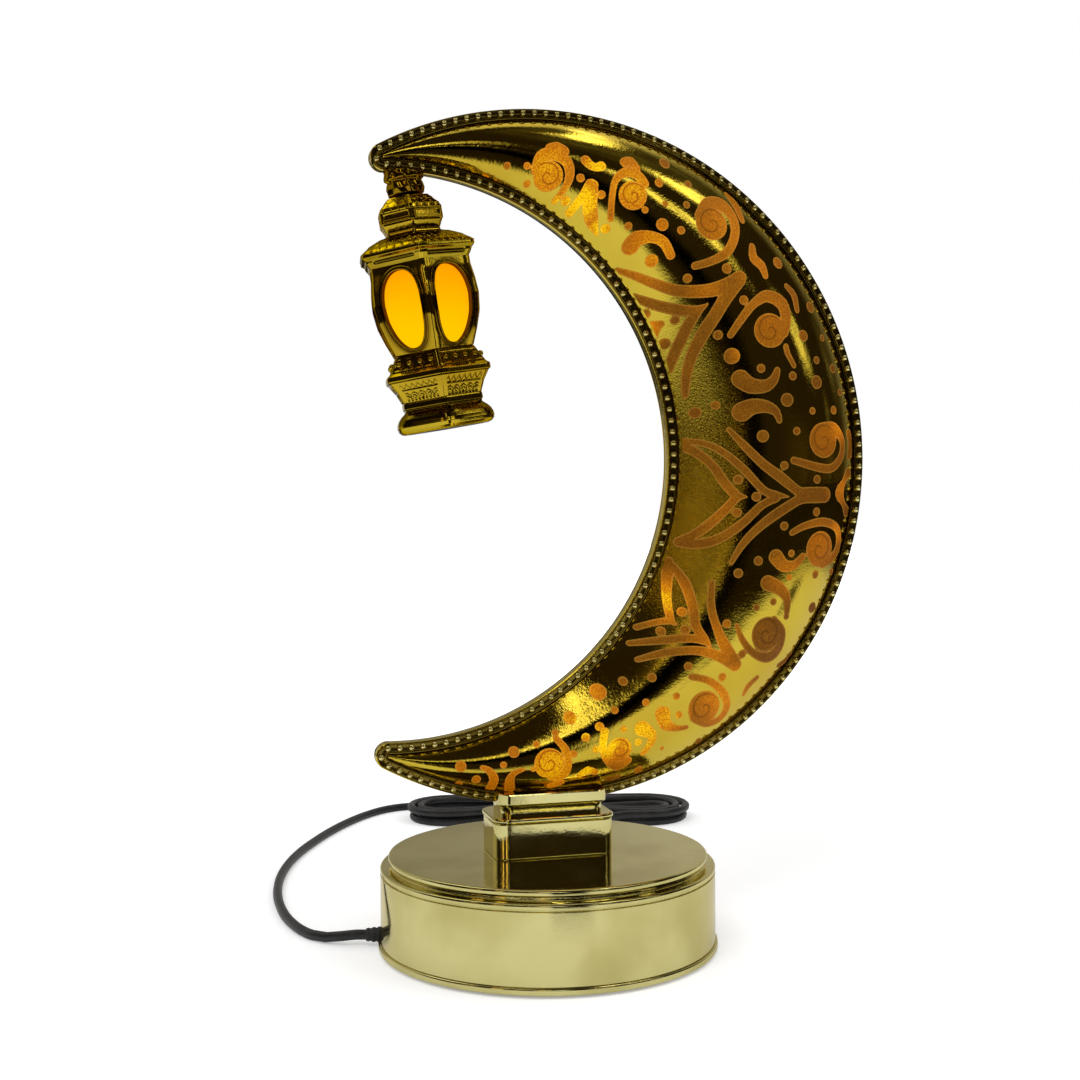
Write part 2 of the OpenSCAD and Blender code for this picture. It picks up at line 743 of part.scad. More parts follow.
module lantern_place() {
  hang() rotate([0, 0, lantern_turn]) children();
}
function tiers(shares, out) = [for (s = shares) [lantern_len * s[0], eave_r * s[1] + out]];
module hex_loft(rows) {
  n = len(rows);
  polyhedron(
    points = [
      for (row = rows)
        for (k = [0:hex_sides - 1])
          let (a = 360 * k / hex_sides)
          [row[1] * cos(a), row[1] * sin(a), -row[0]]
    ],
    faces = concat(
      [[for (k = [hex_sides - 1:-1:0]) k]],
      [[for (k = [0:hex_sides - 1]) (n - 1) * hex_sides + k]],
      [
        for (j = [0:n - 2])
          for (k = [0:hex_sides - 1])
            let (m = (k + 1) % hex_sides)
            let (a = j * hex_sides)
            each [
              [a + k, a + m, a + hex_sides + k],
              [a + m, a + hex_sides + m, a + hex_sides + k]
            ]
      ]
    )
  );
}
// A six-sided sleeve with no ends, from the outer rows and the inner rows at the same depths
module hex_sleeve(outer, inner) {
  n = len(outer);
  rows = concat(outer, [for (j = [n - 1:-1:0]) inner[j]]);
  polyhedron(
    points = [
      for (row = rows)
        for (k = [0:hex_sides - 1])
          let (a = 360 * k / hex_sides)
          [row[1] * cos(a), row[1] * sin(a), -row[0]]
    ],
    faces = [
      for (j = [0:2 * n - 1])
        for (k = [0:hex_sides - 1])
          let (m = (k + 1) % hex_sides)
          let (a = j * hex_sides, b = (j + 1) % (2 * n) * hex_sides)
          each [[a + k, a + m, b + k], [a + m, b + m, b + k]]
    ]
  );
}
function below(rows, depth) = [for (r = rows) if (r[0] > depth) r];
function first_r(rows, depth) = lookup(-depth, [for (r = rows) [-r[0], r[1]]]);

module lantern_knuckle() {
  half = knuckle_h / 2;
  bulge_r = (half * half + knuckle_bulge * knuckle_bulge) / (2 * knuckle_bulge);
  stem_to = cap_plate + slip + groove_h + stem_end;
  color(gold) difference() {
    intersection() {
      hang() {
        rotate_extrude() intersection() {
          translate([knuckle_r - bulge_r, 0]) circle(bulge_r, $fn = 96);
          translate([0, -half]) square([knuckle_r, 2 * knuckle_h]);
        }
        difference() {
          translate([0, 0, -stem_to]) cylinder(r = stem_r, h = stem_to);
          translate([0, 0, -cap_plate - slip - groove_h]) difference() {
            cylinder(r = stem_r + over, h = groove_h);
            cylinder(r = groove_r, h = groove_h);
          }
        }
      }
      disc_in_plane(crescent_inner_r - slip, -crescent_shift, -4 * knuckle_r, 8 * knuckle_r);
    }
    hang() {
      block(tab_w + 2 * fit, frame_t + 2 * slip, -tab_depth - slip, 2 * knuckle_h);
      translate([0, 0, -stem_to - over]) cylinder(r = stem_bore_r, h = stem_to);
    }
  }
}
module lantern_cap() {
  rows = tiers(CAP_SHARES, 0);
  inner = tiers(CAP_SHARES, -wall_r);
  hollow = concat(
    [[cap_plate, first_r(inner, cap_plate)]],
    below(inner, cap_plate),
    [[cage_top + over, inner[len(inner) - 1][1]]]
  );
  color(gold) lantern_place() difference() {
    hex_loft(rows);
    hex_loft(hollow);
    translate([0, 0, -cap_plate - over]) cylinder(r = stem_r + slip, h = cap_plate);
  }
}
module lantern_clip() {
  color(steel) lantern_place() translate([0, 0, -cap_plate - slip - clip_t - slip])
    difference() {
      cylinder(r = clip_r, h = clip_t);
      translate([0, 0, -over]) cylinder(r = groove_r + slip, h = clip_t + 2 * over);
      translate([0, -clip_mouth / 2, -over]) cube([clip_r + over, clip_mouth, clip_t
        + 2 * over]);
    }
}
// Tall oval window, a little wider above its middle
module window_outline() {
  top = lantern_len * window_top_share;
  bottom = lantern_len * window_bottom_share;
  half_w = eave_r * window_half_share;
  half_h = (bottom - top) / 2;
  steps = 28;
  polygon([
    for (i = [0:steps - 1])
      let (a = 360 * i / steps)
      [half_w * cos(a) * (1 + window_egg * sin(a)), -top - half_h + half_h * sin(a)]
  ]);
}
module at_faces() {
  for (k = [0:hex_sides - 1]) rotate([0, 0, 360 * (k + 0.5) / hex_sides]) children();
}
module lantern_cage() {
  color(gold) lantern_place() difference() {
    hex_sleeve(tiers(CAGE_SHARES, 0), tiers(CAGE_SHARES, -wall_r));
    at_faces() rotate([90, 0, 90]) linear_extrude(2 * eave_r) window_outline();
  }
}
module lantern_diffuser() {
  out = -wall_r - slip;
  color(amber) lantern_place()
    hex_sleeve(tiers(CAGE_SHARES, out), tiers(CAGE_SHARES, out - diffuser_wall));
}
module lantern_foot() {
  rows = tiers(FOOT_SHARES, 0);
  inner = tiers(FOOT_SHARES, -wall_r);
  n = len(inner) - 1;
  hollow = concat(
    [[foot_floor, first_r(inner, foot_floor)]],
    below(inner, foot_floor),
    [[inner[n][0] + over, inner[n][1]]]
  );
  color(gold) lantern_place() difference() {
    hex_loft(rows);
    hex_loft(hollow);
  }
}
module lantern_beads() {
  depth = lantern_len * band_bead_share;
  rows = tiers(FOOT_SHARES, 0);
  r = first_r(rows, depth);
  flat_r = r * cos(180 / hex_sides);
  slope = atan2(
    (rows[2][1] - rows[1][1]) * cos(180 / hex_sides), rows[2][0] - rows[1][0]
  );
  pitch = r / band_beads;
  color(gold) lantern_place() at_faces()
    for (k = [0:band_beads - 1])
      translate([flat_r, pitch * (k - (band_beads - 1) / 2), -depth])
        rotate([0, 90 - slope, 0]) translate([0, 0, slip]) bead(band_bead_d, 0);
}
module lantern_board() {
  color(green) lantern_place()
    translate([0, 0, -cage_bottom]) cylinder(r = lamp_board_r, h = lamp_board_t);
}
module lantern_lamp() {
  color(amber) lantern_place()
    block(lamp_size, lamp_size, -cage_bottom + lamp_board_t, -cage_bottom + lamp_board_t + lamp_h);
}
module lantern_lead() {
  from = tab_depth + 2 * slip;
  to = cage_bottom - lamp_board_t - lamp_h;
  color(copper) lantern_place() translate([0, 0, -to]) cylinder(r = lead_r, h = to - from);
}
module lantern_plug() {
  rows = tiers(FOOT_SHARES, -wall_r - fit);
  n = len(rows) - 1;
  from = lantern_len - bottom_plug_t;
  color(black) lantern_place()
    hex_loft([[from, rows[n][1]], [lantern_len, rows[n][1]]]);
}

// Cord

function at_hank(p) = [
  hank_centre.x + p.x * cos(hank_turn) - p.y * sin(hank_turn),
  hank_centre.y + p.x * sin(hank_turn) + p.y * cos(hank_turn),
  p.z
];
exit_dir = [cos(exit_angle), sin(exit_angle), 0];
exit_point = sleeve_to * exit_dir + [0, 0, exit_z];
hank_start = [-hank_half, hank_r, cord_r];
POWER_ROUTE = concat(
  [exit_point, exit_point + cord_d * exit_dir],
  CORD_POINTS,
  [at_hank(hank_start - [cord_d, 0, 0]), at_hank(hank_start)]
);

// Place on the hank after so many turns: a run, an end arc, the other run, the other arc
function hank_radius(t) = hank_r - hank_pitch * min(t, hank_turns - t);
function waist(u) = pow(sin(180 * u), 2);
function climb(t) =
  let (u = min(1, max(0, 2 * (t - hank_turns / 2) + 0.5))) u * u * (3 - 2 * u);
function hank_point(t) =
  let (half = floor(2 * t + 0.0001), u = 2 * t - half, way = half % 2 == 0 ? 1 : -1)
  let (r = hank_radius(t), run = min(1, 2 * u), w = waist(run))
  let (a = 90 - 180 * max(0, 2 * u - 1))
  let (z = cord_r + hank_layer * climb(t) + waist_lift * (u < 0.5 ? w : 0))
  u < 0.5
    ? at_hank([way * hank_half * (4 * u - 1), way * (r - waist_pull * w), z])
    : at_hank([way * (hank_half + r * cos(a)), way * r * sin(a), z]);
hank_way = at_hank([cord_d, 0, 0]) - at_hank([0, 0, 0]);
hank_end = hank_point(hank_turns) - hank_way;
HANK = concat(
  [hank_point(0), hank_point(0) + hank_way],
  [for (i = [1:hank_turns * hank_rings]) hank_point(i / hank_rings)],
  [hank_end]
);
TAIL_ROUTE = concat(
  [hank_end],
  [for (p = TAIL_POINTS) at_hank(p)],
  [at_hank([0, plug_start + cord_r, plug_h / 2]), at_hank([0, plug_start, plug_h / 2])]
);
least_gap = min([
  for (i = [0:len(HANK) - 1])
    for (k = [i + hank_rings / 3:len(HANK) - 1])
      norm(HANK[i] - HANK[k])
]) - cord_d;
echo(hank_least_gap = least_gap, hank_length = path_length(HANK),
  cord_length = path_length(POWER_ROUTE) + path_length(HANK) + path_length(TAIL_ROUTE));

module power_cord() {
  color(black) tube_along(smooth(POWER_ROUTE, cord_step), cord_r, cord_sides);
}
module cord_hank() {
  color(black) tube_along(HANK, cord_r, hank_sides);
}
module cord_tail() {
  color(black) tube_along(smooth(TAIL_ROUTE, cord_step), cord_r, cord_sides);
}
module cord_tie() {
  half_w = hank_r - hank_pitch / 2 - waist_pull + cord_r + tie_gap;
  z0 = tie_t;
  z1 = waist_lift + hank_layer + cord_d + 2 * fit;
  color(black) translate([hank_centre.x, hank_centre.y, 0]) rotate([0, 0, hank_turn])
    translate([-tie_w / 2, hank_pitch / 4, (z0 + z1) / 2])
      rotate([90, 0, 90]) linear_extrude(tie_w)
      difference() {
        rounded_rect(2 * (half_w + tie_t), z1 - z0 + 2 * tie_t, tie_corner_r);
        rounded_rect(2 * half_w, z1 - z0, tie_corner_r - tie_t);
      }
}
module at_plug() {
  translate([hank_centre.x, hank_centre.y, 0]) rotate([0, 0, hank_turn])
    translate([0, plug_start, plug_h / 2]) rotate([90, 0, 0]) children();
}
module plug_body() {
  color(black) at_plug() linear_extrude(plug_l) rounded_rect(plug_w, plug_h, plug_h * 0.3);
}
module plug_shell() {
  inner_w = plug_shell_w - 2 * plug_shell_wall;
  inner_h = plug_shell_h - 2 * plug_shell_wall;
  color(steel) at_plug() translate([0, 0, plug_l]) difference() {
    linear_extrude(plug_shell_l) square([plug_shell_w, plug_shell_h], center = true);
    translate([-inner_w / 2, -inner_h / 2 + plug_tongue_h, plug_shell_wall])
      cube([inner_w, inner_h - plug_tongue_h, plug_shell_l]);
  }
}

base_housing();
base_cover();
foot_pad();
cover_screws();
ballast();
circuit_board();
board_parts();
board_screws();
cord_clamp();
clamp_screws();
inner_lead();
cord_sleeve();
neck_block();
neck_saddle();
neck_screws();
crescent_frame();
crescent_front_shell();
crescent_rear_shell();
bead_trim();
light_strip();
light_chips();
lantern_knuckle();
lantern_cap();
lantern_clip();
lantern_cage();
lantern_diffuser();
lantern_foot();
lantern_beads();
lantern_board();
lantern_lamp();
lantern_lead();
lantern_plug();
power_cord();
cord_hank();
cord_tie();
cord_tail();
plug_body();
plug_shell();
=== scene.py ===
# %% [markdown]
# # A crescent table lamp with a hanging lantern
#
# A metallised plastic crescent stands on a round base. A beaded border runs round it, an
# etched ornament lets amber light through its front, and a small six-sided lantern hangs in
# its opening. The solids come packed, as a fixed frame in metres. Each cell makes one piece
# or one finish, and the cell before it says why it is made in that way.

# %% Load the frame
import math
import bmesh
import bpy
import numpy as np
from mathutils import Matrix, Vector


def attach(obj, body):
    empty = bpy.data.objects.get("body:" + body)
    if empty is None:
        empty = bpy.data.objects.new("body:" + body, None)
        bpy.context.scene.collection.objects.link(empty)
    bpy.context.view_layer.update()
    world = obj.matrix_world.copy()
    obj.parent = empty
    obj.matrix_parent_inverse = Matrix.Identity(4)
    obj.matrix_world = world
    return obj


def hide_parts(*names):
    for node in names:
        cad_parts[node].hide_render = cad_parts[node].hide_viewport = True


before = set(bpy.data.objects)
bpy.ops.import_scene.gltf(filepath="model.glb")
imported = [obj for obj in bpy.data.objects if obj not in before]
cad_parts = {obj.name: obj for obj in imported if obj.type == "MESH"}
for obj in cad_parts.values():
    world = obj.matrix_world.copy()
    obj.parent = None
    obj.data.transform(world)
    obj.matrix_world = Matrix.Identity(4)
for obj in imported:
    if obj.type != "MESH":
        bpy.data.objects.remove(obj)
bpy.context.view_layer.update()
scene = bpy.context.scene
MM = 0.001

# %% [markdown]
# ## The camera
#
# The photographer stood a little to the left of the lamp, level with the middle of the
# crescent, and held a 50 mm lens almost level. A camera can be aimed at a target, but what
# was measured is its heading, pitch and roll, so it is built from those.

# %% Camera
CAMERA_PLACE = (-111.5, -416.3, 127.1)
CAMERA_HEADING = math.radians(14.79)
CAMERA_PITCH = math.radians(1.34)
CAMERA_ROLL = math.radians(0.4)

forward = Vector((math.sin(CAMERA_HEADING), math.cos(CAMERA_HEADING), -math.tan(CAMERA_PITCH)))
forward.normalize()
level_right = Vector((math.cos(CAMERA_HEADING), -math.sin(CAMERA_HEADING), 0))
level_up = level_right.cross(forward)
right = level_right * math.cos(CAMERA_ROLL) - level_up * math.sin(CAMERA_ROLL)
up = level_right * math.sin(CAMERA_ROLL) + level_up * math.cos(CAMERA_ROLL)
turn = Matrix((right, up, -forward)).transposed()

lens = bpy.data.cameras.new("camera")
lens.lens = 50
lens.sensor_width = 36
lens.clip_start = 0.01
camera = bpy.data.objects.new("camera", lens)
scene.collection.objects.link(camera)
camera.matrix_world = Matrix.Translation(Vector(CAMERA_PLACE) * MM) @ turn.to_4x4()
scene.camera = camera

# %% [markdown]
# ## Writing node trees as sums
#
# A material is a graph of nodes, and its arithmetic reads best as arithmetic. `Wire` wraps
# one output of a node, so that `1 - mask * 0.5` adds the two Math nodes by itself. It serves
# materials, the world and Geometry Nodes.

# %% Wires
class Wire:
    """One output of a node."""

    def __init__(self, bench, socket):
        self.bench = bench
        self.socket = socket

    def math(self, operation, *others):
        return self.bench.math(operation, self, *others)

    def __add__(self, other):
        return self.math("ADD", other)

    def __sub__(self, other):
        return self.math("SUBTRACT", other)

    def __rsub__(self, other):
        return self.bench.math("SUBTRACT", other, self)

    def __mul__(self, other):
        return self.math("MULTIPLY", other)

    def __truediv__(self, other):
        return self.math("DIVIDE", other)

    __radd__ = __add__
    __rmul__ = __mul__

    def ease(self, low, high):
        """0 below low, 1 above high, and a smooth step between them."""
        values = {"Value": self, "From Min": low, "From Max": high}
        return self.bench.add("ShaderNodeMapRange", {"interpolation_type": "SMOOTHSTEP"}, values)

    def within(self, low, high, soft):
        """1 between low and high, with soft edges."""
        return self.ease(low - soft, low + soft) * (1 - self.ease(high - soft, high + soft))

# %% [markdown]
# A `Bench` belongs to one tree and adds a node from its type, its settings and the values of
# its sockets. Its short methods stand for what nearly every finish needs: the piece's own
# coordinates, a stored attribute, a blend of two colours, noise and a bump.

# %% Benches
class Bench:
    """Adds nodes to one tree."""

    def __init__(self, tree):
        self.tree = tree

    def add(self, kind, settings=(), values=(), out=0):
        node = self.tree.nodes.new(kind)
        for name, value in dict(settings).items():
            setattr(node, name, value)
        for name, value in dict(values).items():
            if isinstance(value, Wire):
                self.tree.links.new(value.socket, node.inputs[name])
            else:
                node.inputs[name].default_value = value
        return Wire(self, node.outputs[out]) if len(node.outputs) else None

    def math(self, operation, *values):
        return self.add("ShaderNodeMath", {"operation": operation}, dict(enumerate(values)))

    def place(self, out="Object"):
        """The piece's own coordinates, in metres."""
        return self.add("ShaderNodeTexCoord", out=out)

    def split(self, vector):
        """The three coordinates of a vector."""
        first = self.add("ShaderNodeSeparateXYZ", (), {0: vector})
        return [Wire(self, socket) for socket in first.socket.node.outputs]

    def stored(self, name, out="Fac"):
        """What is stored under a name on the piece's points."""
        return self.add("ShaderNodeAttribute", {"attribute_name": name}, out=out)

    def ray(self, kind):
        """1 for the rays of a kind, 0 for all others."""
        return self.add("ShaderNodeLightPath", out=f"Is {kind} Ray")

    def scaled(self, colour, level):
        return self.add("ShaderNodeVectorMath", {"operation": "SCALE"}, {0: colour, "Scale": level})

    def blend(self, factor, first, second):
        """Goes from the first colour to the second as the factor goes from 0 to 1."""
        first, second = (c if isinstance(c, Wire) else (*c, 1) for c in (first, second))
        return self.add("ShaderNodeMix", {"data_type": "RGBA"}, {0: factor, 6: first, 7: second}, 2)

    def grain(self, scale, detail=2.0, roughness=0.5, place=None):
        """Noise with so many cells to the metre, on the piece's own coordinates."""
        values = {"Vector": place or self.place(), "Scale": scale, "Detail": detail, "Roughness": roughness}
        return self.add("ShaderNodeTexNoise", (), values)

    def bump(self, height, depth):
        """A surface that stands up by the height, in metres, times the depth."""
        return self.add("ShaderNodeBump", (), {"Height": height, "Distance": depth, "Strength": 1.0})

# %% [markdown]
# Nearly every finish here ends in one Principled shader. An empty material is opened, its
# sums are written on the bench, and the shader closes it with a value or a wire for each
# socket that matters.

# %% Opening and closing a finish
def new_finish(name):
    material = bpy.data.materials.new(name)
    material.use_nodes = True
    material.node_tree.nodes.clear()
    return material, Bench(material.node_tree)


def close_finish(bench, **values):
    named = {key.replace("_", " "): value for key, value in values.items()}
    for key, value in named.items():
        if isinstance(value, tuple) and len(value) == 3:
            named[key] = (*value, 1)
    surface = bench.add("ShaderNodeBsdfPrincipled", (), named)
    bench.add("ShaderNodeOutputMaterial", (), {"Surface": surface})

# %% [markdown]
# ## The cord's finish
#
# The jacket is satin black vinyl, a little dusty, with the faint ripple of an extruded skin.
# One even colour would look like paint, so a slow noise patches the colour, and a finer one
# moves the roughness and the bump. The other plain parts use the same function.

# %% Cord, rubber and moulded plastics
def plain_finish(name, dark, light, roughness, scale, depth=0.00002, metallic=0.0):
    """A finish whose colour and roughness vary a little over the surface."""
    material, bench = new_finish(name)
    patch = bench.grain(scale * 0.2, 3)
    fine = bench.grain(scale, 3, 0.6)
    close_finish(
        bench,
        Base_Color=bench.blend(patch.ease(0.3, 0.7), dark, light),
        Roughness=roughness * 0.85 + roughness * 0.3 * fine,
        Metallic=metallic,
        Normal=bench.bump(fine, depth),
    )
    return material


cord_skin = plain_finish("cord_skin", (0.008, 0.008, 0.009), (0.018, 0.018, 0.02), 0.42, 900)
dull_rubber = plain_finish("dull_rubber", (0.015, 0.015, 0.015), (0.03, 0.03, 0.03), 0.8, 1400)
black_moulding = plain_finish("black_moulding", (0.01, 0.01, 0.011), (0.022, 0.022, 0.024), 0.5, 2200)

# %% [markdown]
# ## Making pieces
#
# Every piece is a mesh whose object stays at the origin. Its points are written in
# millimetres and turned into metres once. Smooth shading with sharp edges above an angle
# keeps a polished surface smooth and a moulded edge crisp.

# %% Piece helpers
def link_piece(obj, body, material, slot, *nodes):
    """Puts a finished piece in the scene, on its body, in place of the nodes it stands for."""
    if obj.name not in scene.collection.objects:
        scene.collection.objects.link(obj)
    obj.data.materials.clear()
    obj.data.materials.append(material)
    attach(obj, body)
    if nodes:
        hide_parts(*nodes)
    return obj


def make_mesh(name, points, faces, crease=32, merge=True):
    """A mesh from points in millimetres, with its faces turned outwards."""
    mesh = bpy.data.meshes.new(name)
    mesh.from_pydata((np.asarray(points, float) * MM).tolist(), [], faces)
    work = bmesh.new()
    work.from_mesh(mesh)
    if merge:
        bmesh.ops.remove_doubles(work, verts=work.verts, dist=1e-7)
    bmesh.ops.recalc_face_normals(work, faces=work.faces)
    work.to_mesh(mesh)
    work.free()
    mesh.polygons.foreach_set("use_smooth", [True] * len(mesh.polygons))
    mesh.set_sharp_from_angle(angle=math.radians(crease))
    return mesh


def make_piece(name, shape, body, material, slot, *nodes, crease=32, move=None):
    mesh = make_mesh(name, *shape, crease)
    if move is not None:
        mesh.transform(move)
    print(f"{name}: {len(mesh.polygons)} faces")
    return link_piece(bpy.data.objects.new(name, mesh), body, material, slot, *nodes)

# %% [markdown]
# Most pieces are lofts: skins over rows of points that have the same count. Extruding and
# scaling would take a step for every change of section, and a loft makes moulded blocks,
# turned parts and castings alike. A piece is drawn upright about its own axis and a matrix
# takes it to its place.

# %% Lofts and turns
def loft(rows, ends="open"):
    """Points and faces of a skin over rows of points. Its ends stay open, get lids, or are
    joined to each other."""
    points = [p for row in rows for p in row]
    count = len(rows[0])
    faces = []
    for j in range(len(rows) if ends == "joined" else len(rows) - 1):
        for k in range(count):
            n = (k + 1) % count
            corners = (j * count + k, j * count + n, (j + 1) * count + n, (j + 1) * count + k)
            faces.append(tuple(v % len(points) for v in corners))
    if ends == "lids":
        faces += [tuple(range(count)), tuple(range(len(points) - count, len(points)))]
    return points, faces


def pose(place, *turns):
    """A matrix that turns by (axis, degrees), the last pair first, and then moves."""
    matrix = Matrix.Translation(Vector(place) * MM)
    for axis, degrees in turns:
        matrix = matrix @ Matrix.Rotation(math.radians(degrees), 4, axis)
    return matrix


def unit(v):
    return v / np.linalg.norm(v)

# %% [markdown]
# The cord and the ornament follow smooth lines through chosen points. A Bezier curve would
# need two handles for each point. A Catmull-Rom curve takes its direction at a point from the
# two neighbours.

# %% Smooth lines
def smooth_line(points, step):
    """A smooth line through chosen points, the same curve that the solids follow."""
    points = [np.array(p, float) for p in points]
    line = []
    last = len(points) - 1
    for i in range(last):
        a, b, c, d = points[max(i - 1, 0)], points[i], points[i + 1], points[min(i + 2, last)]
        count = max(1, round(np.linalg.norm(c - b) / step))
        for t in (k / count for k in range(count)):
            line.append(0.5 * (2 * b + (c - a) * t + (2 * a - 5 * b + 4 * c - d) * t ** 2
                               + (3 * b - 3 * c + d - a) * t ** 3))
    return line + [points[last]]

# %% [markdown]
# ## The cord
#
# The cord leaves the base at the lower left through a sleeve, bows out, runs back round the
# lamp and ends in a tied hank behind it, beside its plug. A simulation could lay it, but its
# way is known, so it is one unbroken curve along the points of the solids. It is 1.41 m long
# and 3 mm thick.

# %% Cord route
EXIT_ANGLE = 165
EXIT_AWAY = np.array((math.cos(math.radians(EXIT_ANGLE)), math.sin(math.radians(EXIT_ANGLE)), 0))
EXIT_H = 3.2
SLEEVE_END = 52.6
EXIT_POINT = SLEEVE_END * EXIT_AWAY + (0, 0, EXIT_H)
CORD_R = 1.5
HANK_CENTRE = np.array((45, 170))
HANK_TURN = -15
HANK_HALF, HANK_R, HANK_PITCH, HANK_LAYER, HANK_TURNS = 39, 18.25, 3.9, 3.5, 4.5
HANK_PINCH = 7.4
CORD_POINTS = [(-57.6, 15.8, 2.7), (-61.7, 18.7, 1.9), (-65.3, 23.4, 1.55)]
CORD_POINTS += [(x, y, CORD_R) for x, y in (
    (-67.9, 29.8), (-69.7, 37.4), (-71, 46.5), (-71.5, 58), (-71.3, 70), (-70, 84), (-67.5, 99),
    (-63.5, 115), (-58, 131), (-51, 147), (-43, 163), (-34, 178), (-25, 190), (-15.5, 198.5), (-5, 201.5),
)]
TAIL_POINTS = [
    (33, -18.25, 5), (27, -19.5, 4.6), (20, -23, 3.6), (13, -28, 2.5), (7, -34, 1.8),
    (3, -41, 1.9), (1, -47, 2.8), (0, -53, 3.5), (0, -55.5, 3.5), (0, -57, 3.5),
]

# %% [markdown]
# The hank is a flat coil. Each of its turns is a straight run, an end arc, the other run and
# the other arc, and the strap pinches the runs together. It is written as a function of the
# turns made so far, so that its runs keep the same distance in both layers.

# %% Hank and route
def at_hank(p):
    x, y, z = p
    c, s = math.cos(math.radians(HANK_TURN)), math.sin(math.radians(HANK_TURN))
    return np.array((HANK_CENTRE[0] + x * c - y * s, HANK_CENTRE[1] + x * s + y * c, z))


def hank_point(t):
    """A place on the hank after so many turns: a run, an end arc, the other run and arc."""
    half = math.floor(2 * t + 0.0001)
    u = 2 * t - half
    way = 1 if half % 2 == 0 else -1
    r = HANK_R - HANK_PITCH * min(t, HANK_TURNS - t)
    w = math.sin(math.pi * min(1, 2 * u)) ** 2
    a = math.radians(90 - 180 * max(0, 2 * u - 1))
    c = min(1, max(0, 2 * (t - HANK_TURNS / 2) + 0.5))
    z = CORD_R + HANK_LAYER * c * c * (3 - 2 * c) + (w if u < 0.5 else 0)
    if u < 0.5:
        return at_hank((way * HANK_HALF * (4 * u - 1), way * (r - HANK_PINCH * w), z))
    return at_hank((way * (HANK_HALF + r * math.cos(a)), way * r * math.sin(a), z))


hank_start = (-HANK_HALF, HANK_R, CORD_R)
hank_way = at_hank((3, 0, 0)) - at_hank((0, 0, 0))
hank_end = hank_point(HANK_TURNS) - hank_way
route = [EXIT_POINT, EXIT_POINT + 3 * EXIT_AWAY] + CORD_POINTS
route += [at_hank((hank_start[0] - 3, hank_start[1], CORD_R)), at_hank(hank_start)]
hank = [hank_point(0), hank_point(0) + hank_way]
hank += [hank_point(i / 48) for i in range(2, int(HANK_TURNS * 48) + 1)]
tail = [hank_end] + [at_hank(p) for p in TAIL_POINTS]
cord_line = smooth_line(route, 4)[:-1] + hank[:1] + hank[2:] + smooth_line(tail, 3)
cord_length = sum(np.linalg.norm(b - a) for a, b in zip(cord_line, cord_line[1:])) * MM
print("cord length", round(cord_length, 4))

# %% [markdown]
# The plug is the usual flat one of a low-voltage lead: a grip with three moulded ribs and a
# tapered collar behind a pressed metal shell. A bevelled box would have one size all along,
# so the grip is a stack of rounded rectangles that change their size on the way.

# %% Cord and plug
def rounded_loop(w, d, r, steps=6):
    """A rounded rectangle, corner by corner. A point on the flat beside each corner keeps
    the flat's shading flat."""
    loop = []
    for cx, cy, from_a in ((1, 1, 0), (-1, 1, 90), (-1, -1, 180), (1, -1, 270)):
        for k in range(-1, steps + 2):
            t = min(max(k, 0), steps)
            a = math.radians(from_a + 90 * t / steps)
            along = 0.3 * (k - t)
            loop.append((cx * (w / 2 - r) + r * math.cos(a) - along * math.sin(a),
                         cy * (d / 2 - r) + r * math.sin(a) + along * math.cos(a)))
    return loop


def level_rows(levels, steps=6):
    """Rounded rectangles (w, d, r, z), one above the other."""
    return [[(x, y, z) for x, y in rounded_loop(w, d, r, steps)] for w, d, r, z in levels]


curve = bpy.data.curves.new("cord", "CURVE")
curve.dimensions = "3D"
curve.bevel_depth = CORD_R * MM
curve.bevel_resolution = 4
curve.use_fill_caps = True
spline = curve.splines.new("POLY")
spline.points.add(len(cord_line) - 1)
spline.points.foreach_set("co", [c for p in cord_line for c in (*(p * MM), 1)])
spline.use_smooth = True
cord = bpy.data.objects.new("cord", curve)
link_piece(cord, "lamp", cord_skin, "cord_jacket", "power_cord", "cord_hank", "cord_tail")

grip_levels = [(4.4, 4.2, 2, 0), (4.6, 4.4, 2, 1.2), (4.2, 4, 1.9, 1.5), (4.2, 4, 1.9, 2.1)]
grip_levels += [(4.9, 4.6, 2, 2.4), (5.1, 4.8, 2, 3.4), (4.7, 4.4, 1.9, 3.7), (4.7, 4.4, 1.9, 4.3)]
grip_levels += [(6, 5.2, 2.2, 4.6), (9.4, 6, 2.4, 5.4), (13.4, 6.7, 2.6, 7), (14.6, 6.9, 2.4, 8.4)]
for z in (11, 13, 15):
    grip_levels += [(14.8, 7, 2.2, z - 0.8), (14.2, 6.4, 2, z - 0.4)]
    grip_levels += [(14.2, 6.4, 2, z + 0.4), (14.8, 7, 2.2, z + 0.8)]
grip_levels += [(15, 7, 2.1, 17), (15, 7, 2.1, 24.4), (14.6, 6.6, 1.9, 24.9), (14, 6, 1.6, 25)]
grip = make_piece("plug_grip", loft(level_rows(grip_levels), "lids"), "lamp", black_moulding,
                  "component_plastic", "plug_body",
                  move=pose(at_hank(TAIL_POINTS[-1]), ("Z", HANK_TURN), ("X", 90)))

# %% [markdown]
# The hank is held by a soft strap: a flat rounded section that is swept along the rounded
# rectangle round the runs, and joined to itself.

